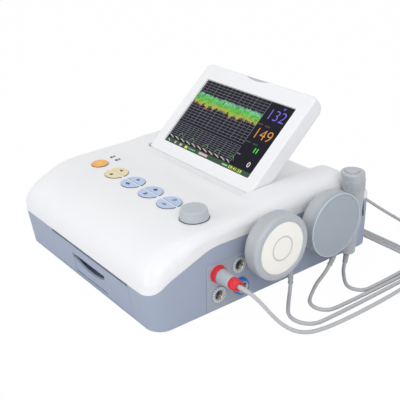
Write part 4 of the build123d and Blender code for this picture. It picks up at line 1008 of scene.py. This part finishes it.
figures("rate_one", "132", 48.2, 80.4, 16.2, violet, weight=-0.3)
figures("rate_two", "149", 47.4, 51, 16.2, orange, weight=-0.3)
figures("pressure_figure", "11", 65, 32.6, 6.8, vivid_green, weight=0.25)
figures("count_figure", "0", 70.5, 12.3, 7.6, white)
figures("clock_figure", "09:41:58", 45.5, 1.5, 4.3, yellow, spacing=1.2, weight=0.12)

# ---------- contraction transducer's plate
TOCO_Y, TOCO_Z, PLATE_R, PLATE_BACK, PLATE_FACE = 60.6, 76.0, 40.0, 183.55, 189.5
plate_line = [(PLATE_BACK, 0), (PLATE_BACK, PLATE_R)]
PLATE_EDGE = 1.3  # radius of the edge round the plate
for k in range(7):
    a = radians(15 * k)
    plate_line.append((PLATE_FACE - PLATE_EDGE * (1 - sin(a)), PLATE_R - PLATE_EDGE * (1 - cos(a))))
plate_line += [(PLATE_FACE, PLATE_R - 2.3), (PLATE_FACE - 0.7, PLATE_R - 3.1), (PLATE_FACE - 0.7, 0)]
plate = turned("toco_plate", [((0, TOCO_Y, TOCO_Z), plate_line)], toco_abs, count=120)
plate.data.set_sharp_from_angle(angle=radians(25))
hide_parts("toco_front")
# a pale bead round the plate's edge: painted highlight on its rim
rim_line = bead_line(PLATE_FACE - 0.45, PLATE_R - 0.5, 0.5)
rim = turned("toco_plate_rim", [((0, TOCO_Y, TOCO_Z), rim_line)], rim_highlight_abs, count=120)

# ---------- event marker's grip
# raised rings round the handle's neck, a little wider from each to the next
rib_inputs = {"Ribs": "Int", "Step": "Vector", "Radius": "Float", "Bead": "Float", "Widening": "Float"}
rib_tree, rib_in = new_tree("grip ribs", rib_inputs)
rib_places = {"Count": rib_in["Ribs"], "Offset": rib_in["Step"]}
rib_points = add_node(rib_tree, "GeometryNodeMeshLine", rib_places, mode="OFFSET")


def circle_of(radius, steps):
    """A circle of this radius in the ribs' tree."""
    inputs = {"Resolution": steps, "Radius": rib_in[radius]}
    return add_node(rib_tree, "GeometryNodeCurvePrimitiveCircle", inputs).outputs["Curve"]


round_rib = {"Curve": circle_of("Radius", 64), "Profile Curve": circle_of("Bead", 10)}
one_rib = add_node(rib_tree, "GeometryNodeCurveToMesh", round_rib)
rank = add_node(rib_tree, "GeometryNodeInputIndex").outputs[0]
wider = maths(rib_tree, "MULTIPLY_ADD", rank, rib_in["Widening"], 1.0)
ribs = copies(rib_tree, rib_points.outputs[0], one_rib.outputs["Mesh"], Scale=wider)
end_tree(rib_tree, ribs, rib_in["Finish"])
LEAN_X, LEAN_Y = 0.615, 0.788
MARKER_X, MARKER_Y = 163.2, 112.0
rib_low, rib_step, rib_off, rib_back = 99.4, 2.6, 3.75, -0.11 * 2.6
rib_start = Vector((MARKER_X + rib_off * LEAN_X, MARKER_Y + rib_off * LEAN_Y, rib_low)) * MM
rib_values = {
    "Ribs": 6,
    "Step": mm(rib_back * LEAN_X, rib_back * LEAN_Y, rib_step),
    "Radius": 12.42 * MM,
    "Bead": 0.95 * MM,
    "Widening": 0.0195,
    "Finish": marker_abs,
}
rib_piece = grown("marker_grip_ribs", rib_tree, "case", [(Matrix.Translation(rib_start), rib_values)])
for face in rib_piece.data.polygons:
    face.use_smooth = True

# ---------- crisp copies of the mouldings that show
moulded = {
    "case": "top_cover socket_panel marker_handle us_front_ring",
    "lid": "lid_bezel lid_back",
    "drawer": "drawer_front",
    "latch": "drawer_latch",
    "knob": "control_knob",
}
for body, names in moulded.items():
    for node in names.split():
        moulding(f"{node}_moulding", node, body)
moulding("base_shell_moulding", "base_shell", joins=((2, 3.85), (1, 150.0), (1, -150.0)))

# ---------- finger notch
# a pale grey pad lines the notch in the display's top edge; its grey is painted shade of the notch
NOTCH_X, NOTCH_W, NOTCH_DEPTH, LID_TOP = -2.0, 54.0, 5.0, 128.5
notch_r = (NOTCH_W**2 / 4 + NOTCH_DEPTH**2) / (2 * NOTCH_DEPTH)
pad_outline = [(NOTCH_X + NOTCH_W * 0.47, LID_TOP - 0.4), (NOTCH_X - NOTCH_W * 0.47, LID_TOP - 0.4)]
for k in range(13):
    x = NOTCH_X + NOTCH_W * (k / 12 - 0.5) * 0.985
    across = x - NOTCH_X
    low = LID_TOP - NOTCH_DEPTH + notch_r - sqrt(notch_r**2 - across**2)
    pad_outline.append((x, min(low + 0.12, LID_TOP - 0.42)))
pad = plates("notch_shade_liner", [pad_outline], on_screen, -6.5, -2.2, notch_shade_grey, "lid")

# ---------- stage
floor_mesh = bpy.data.meshes.new("floor")
floor_mesh.from_pydata([(-4, -4, 0), (4, -4, 0), (4, 4, 0), (-4, 4, 0)], [], [[0, 1, 2, 3]])
floor = placed("floor", floor_mesh)
# plain white table sheet, shown bright to the eye and still holding the object's shadow
sheet = bpy.data.materials.new("white table sheet")
sheet.use_nodes = True
tree = sheet.node_tree
shader = tree.nodes["Principled BSDF"]
shader.inputs["Base Color"].default_value = linear("F2F2F4")
shader.inputs["Roughness"].default_value = 0.8
rays = add_node(tree, "ShaderNodeLightPath")
glow = add_node(tree, "ShaderNodeEmission", {"Color": (1, 1, 1, 1), "Strength": 1.0})
share = maths(tree, "MULTIPLY", rays.outputs["Is Camera Ray"], 0.985)
blend = add_node(tree, "ShaderNodeMixShader", {0: share, 1: shader.outputs[0], 2: glow.outputs[0]})
tree.links.new(blend.outputs[0], tree.nodes["Material Output"].inputs["Surface"])
floor_mesh.materials.append(sheet)

world = bpy.data.worlds.new("studio")
bpy.context.scene.world = world
world.use_nodes = True
tree = world.node_tree
tree.nodes.clear()
rays = add_node(tree, "ShaderNodeLightPath")
seen = rays.outputs["Is Camera Ray"]
for ray in ("Is Glossy Ray", "Is Transmission Ray"):
    seen = maths(tree, "MAXIMUM", seen, rays.outputs[ray])
soft = add_node(tree, "ShaderNodeBackground", {"Color": (0.97, 0.98, 1.0, 1), "Strength": 0.62})
bright = add_node(tree, "ShaderNodeBackground", {"Color": (1, 1, 1, 1), "Strength": 1.0})
both = add_node(tree, "ShaderNodeMixShader", {0: seen, 1: soft.outputs[0], 2: bright.outputs[0]})
add_node(tree, "ShaderNodeOutputWorld", {"Surface": both.outputs[0]})


def lamp(name, spot, aim, size, watts):
    """A soft square lamp that faces a point."""
    data = bpy.data.lights.new(name, "AREA")
    data.size = size
    data.energy = watts
    made = placed(name, data)
    facing = (Vector(aim) - Vector(spot)).to_track_quat("-Z", "Y").to_matrix().to_4x4()
    made.matrix_world = Matrix.Translation(Vector(spot)) @ facing


lamp("overhead softbox", (-0.3, -0.2, 1.9), (0, 0, 0.05), 1.6, 4.0)
lamp("front softbox", (-0.5, -1.8, 0.9), (0, 0, 0.05), 1.2, 6.5)
lamp("right softbox", (1.55, -0.8, 1.2), (0.1, 0, 0.05), 0.8, 12)

bpy.context.scene.view_settings.view_transform = "Standard"
